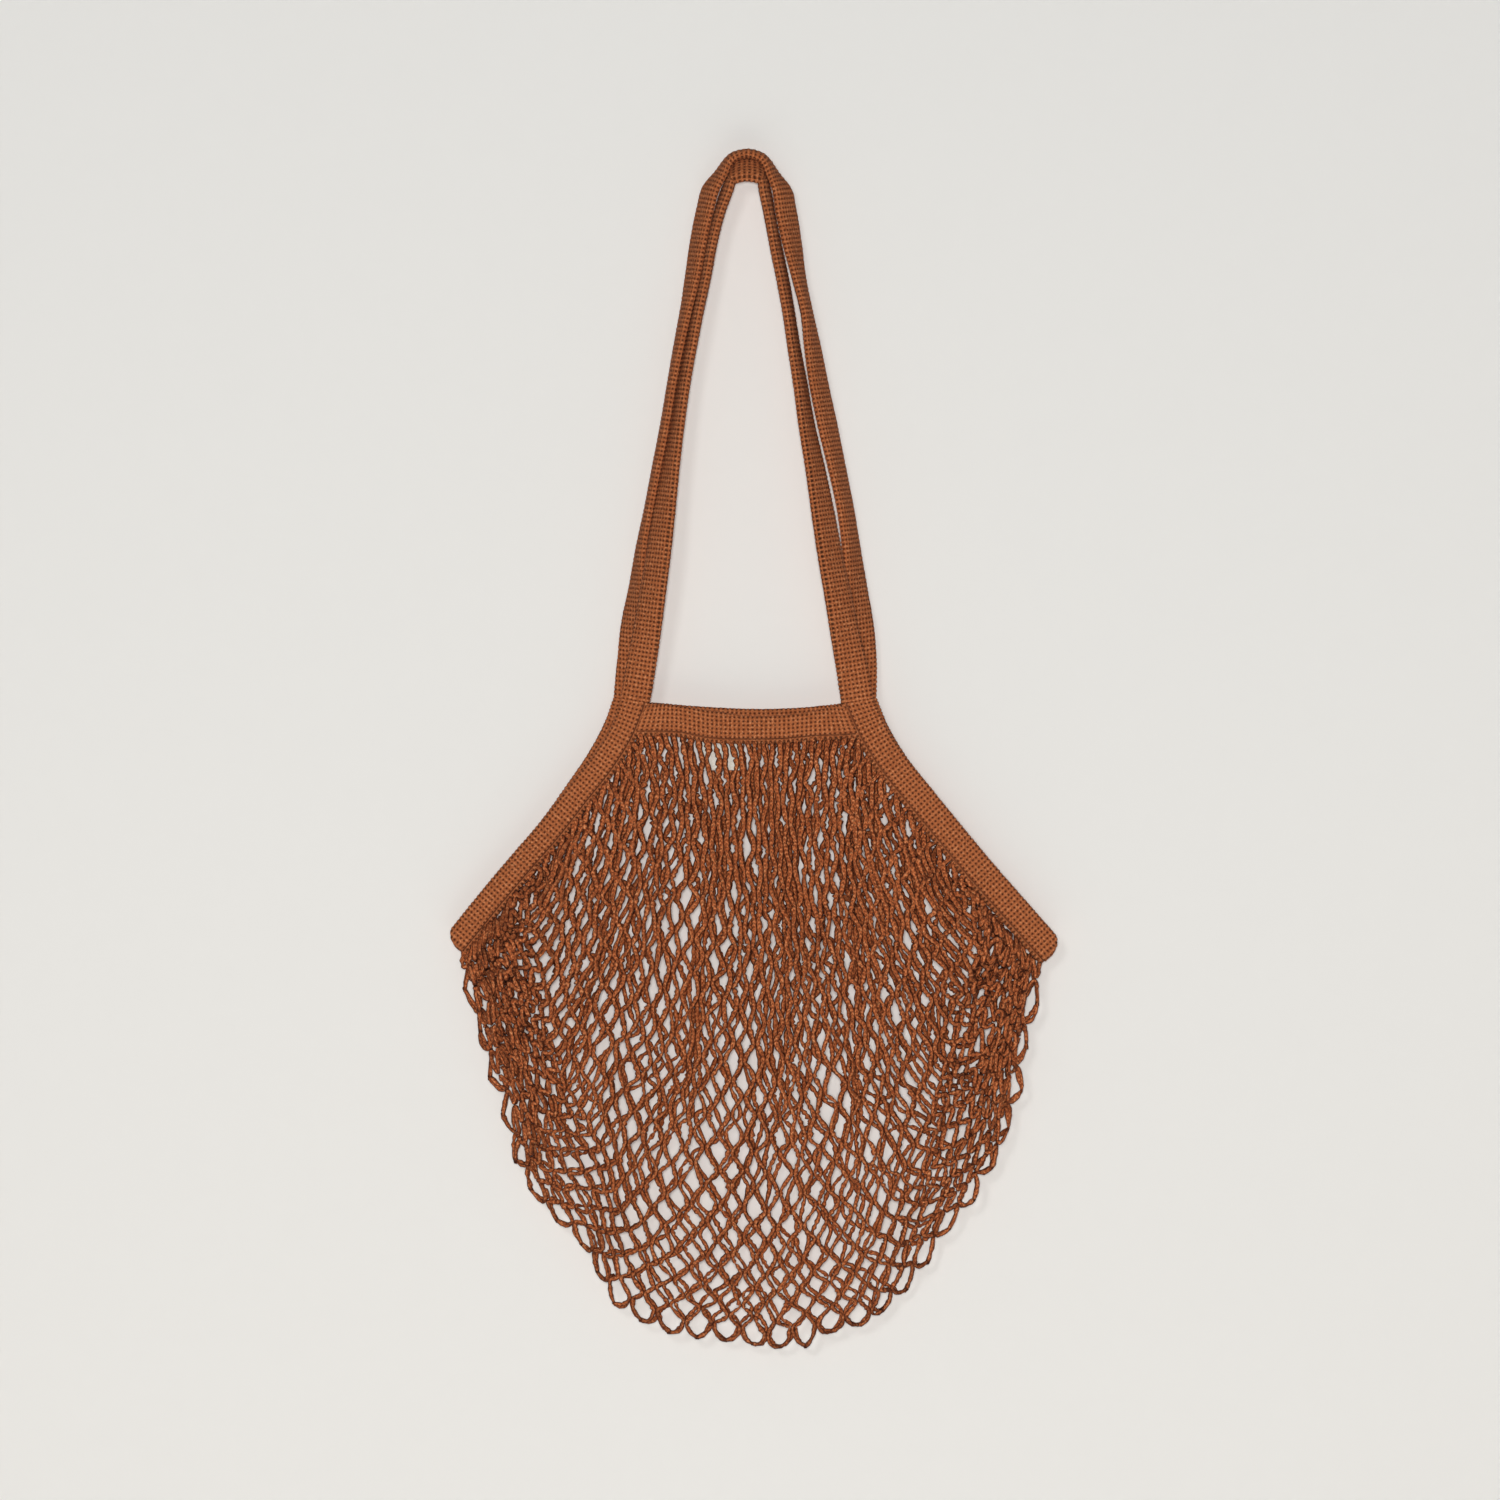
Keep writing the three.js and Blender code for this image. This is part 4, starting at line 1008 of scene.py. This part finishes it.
def wall_and_floor():
    """A wall just behind the rearmost point of the bag and a floor far below it."""
    wall_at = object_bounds()[1][1] / MM + WALL_GAP
    # Painted light: the wall's paint is lighter towards its foot.
    wall_paint = plaster("wall_paint", colour(232, 231, 229), colour(237, 235, 232), True)
    floor_paint = plaster("floor_paint", colour(226, 225, 220), colour(226, 225, 220), False)
    plane("wall", (-WALL_REACH, wall_at, FLOOR_AT), (2 * WALL_REACH, 0, 0), (0, 0, WALL_HEIGHT - FLOOR_AT),
          wall_paint)
    plane("floor", (-FLOOR_REACH, -FLOOR_REACH, FLOOR_AT), (2 * FLOOR_REACH, 0, 0),
          (0, 2 * FLOOR_REACH, 0), floor_paint)


def softbox(name, place, target, size, watts, tone=WHITE):
    """A square area light at a place, turned to its target."""
    light = bpy.data.lights.new(name, "AREA")
    light.size = size
    light.energy = watts
    light.color = tone
    lamp = bpy.data.objects.new(name, light)
    bpy.context.scene.collection.objects.link(lamp)
    lamp.location = place
    lamp.rotation_euler = (Vector(target) - Vector(place)).to_track_quat("-Z", "Y").to_euler()
    return lamp


def lights():
    """A small lamp by the camera and a larger one above it, a faint one below, two behind the wall for
    views from behind, and a weak even light from all sides."""
    softbox("front_light", (-0.02, -4.7, -0.3), BAG_MIDDLE, size=0.3, watts=133, tone=DAYLIGHT)
    softbox("key_light", (-1.0, -4.2, 0.6), BAG_MIDDLE, size=0.7, watts=24, tone=DAYLIGHT)
    softbox("low_fill", (0.3, -3.4, -1.9), BAG_FOOT, size=1.6, watts=7)
    softbox("back_light", (-0.5, 3.4, 0.2), BAG_MIDDLE, size=1.2, watts=30)
    softbox("rear_fill", (0.8, 3.2, -0.8), BAG_MIDDLE, size=1.2, watts=12)
    world = bpy.data.worlds.new("studio")
    bpy.context.scene.world = world
    world.use_nodes = True
    Nodes(world.node_tree).give(world.node_tree.nodes["Background"],
                                {"Color": SKY_COLOUR, "Strength": SKY_STRENGTH})


def view():
    """A level view from CAMERA_AWAY that is FRAME_WIDTH wide at the bag: lens = sensor x away / width."""
    bpy.context.scene.view_settings.view_transform = "Standard"
    data = bpy.data.cameras.new("camera")
    data.sensor_width = SENSOR
    data.lens = SENSOR * CAMERA_AWAY / FRAME_WIDTH
    data.clip_end = CLIP_END
    camera = bpy.data.objects.new("camera", data)
    bpy.context.scene.collection.objects.link(camera)
    camera.location = (VIEW_X * MM, -CAMERA_AWAY * MM, VIEW_Z * MM)
    camera.rotation_euler = (np.pi / 2, 0, 0)
    bpy.context.scene.camera = camera


knitted_yarn = tape_cotton()
string = net_cotton()
label_cloth = label_cotton()

tapes, sheet = bag_lines()
for node, stations in tapes.items():
    build_tape(node, stations, knitted_yarn)
strands = net_strands(sheet)
fold = LEGS * SAMPLES_PER_LEG // 2
build_net("front_net", strands, slice(0, fold + 1), string)
build_net("back_net", strands, slice(fold, None), string)
build_label(label_cloth)
wall_and_floor()
lights()
view()
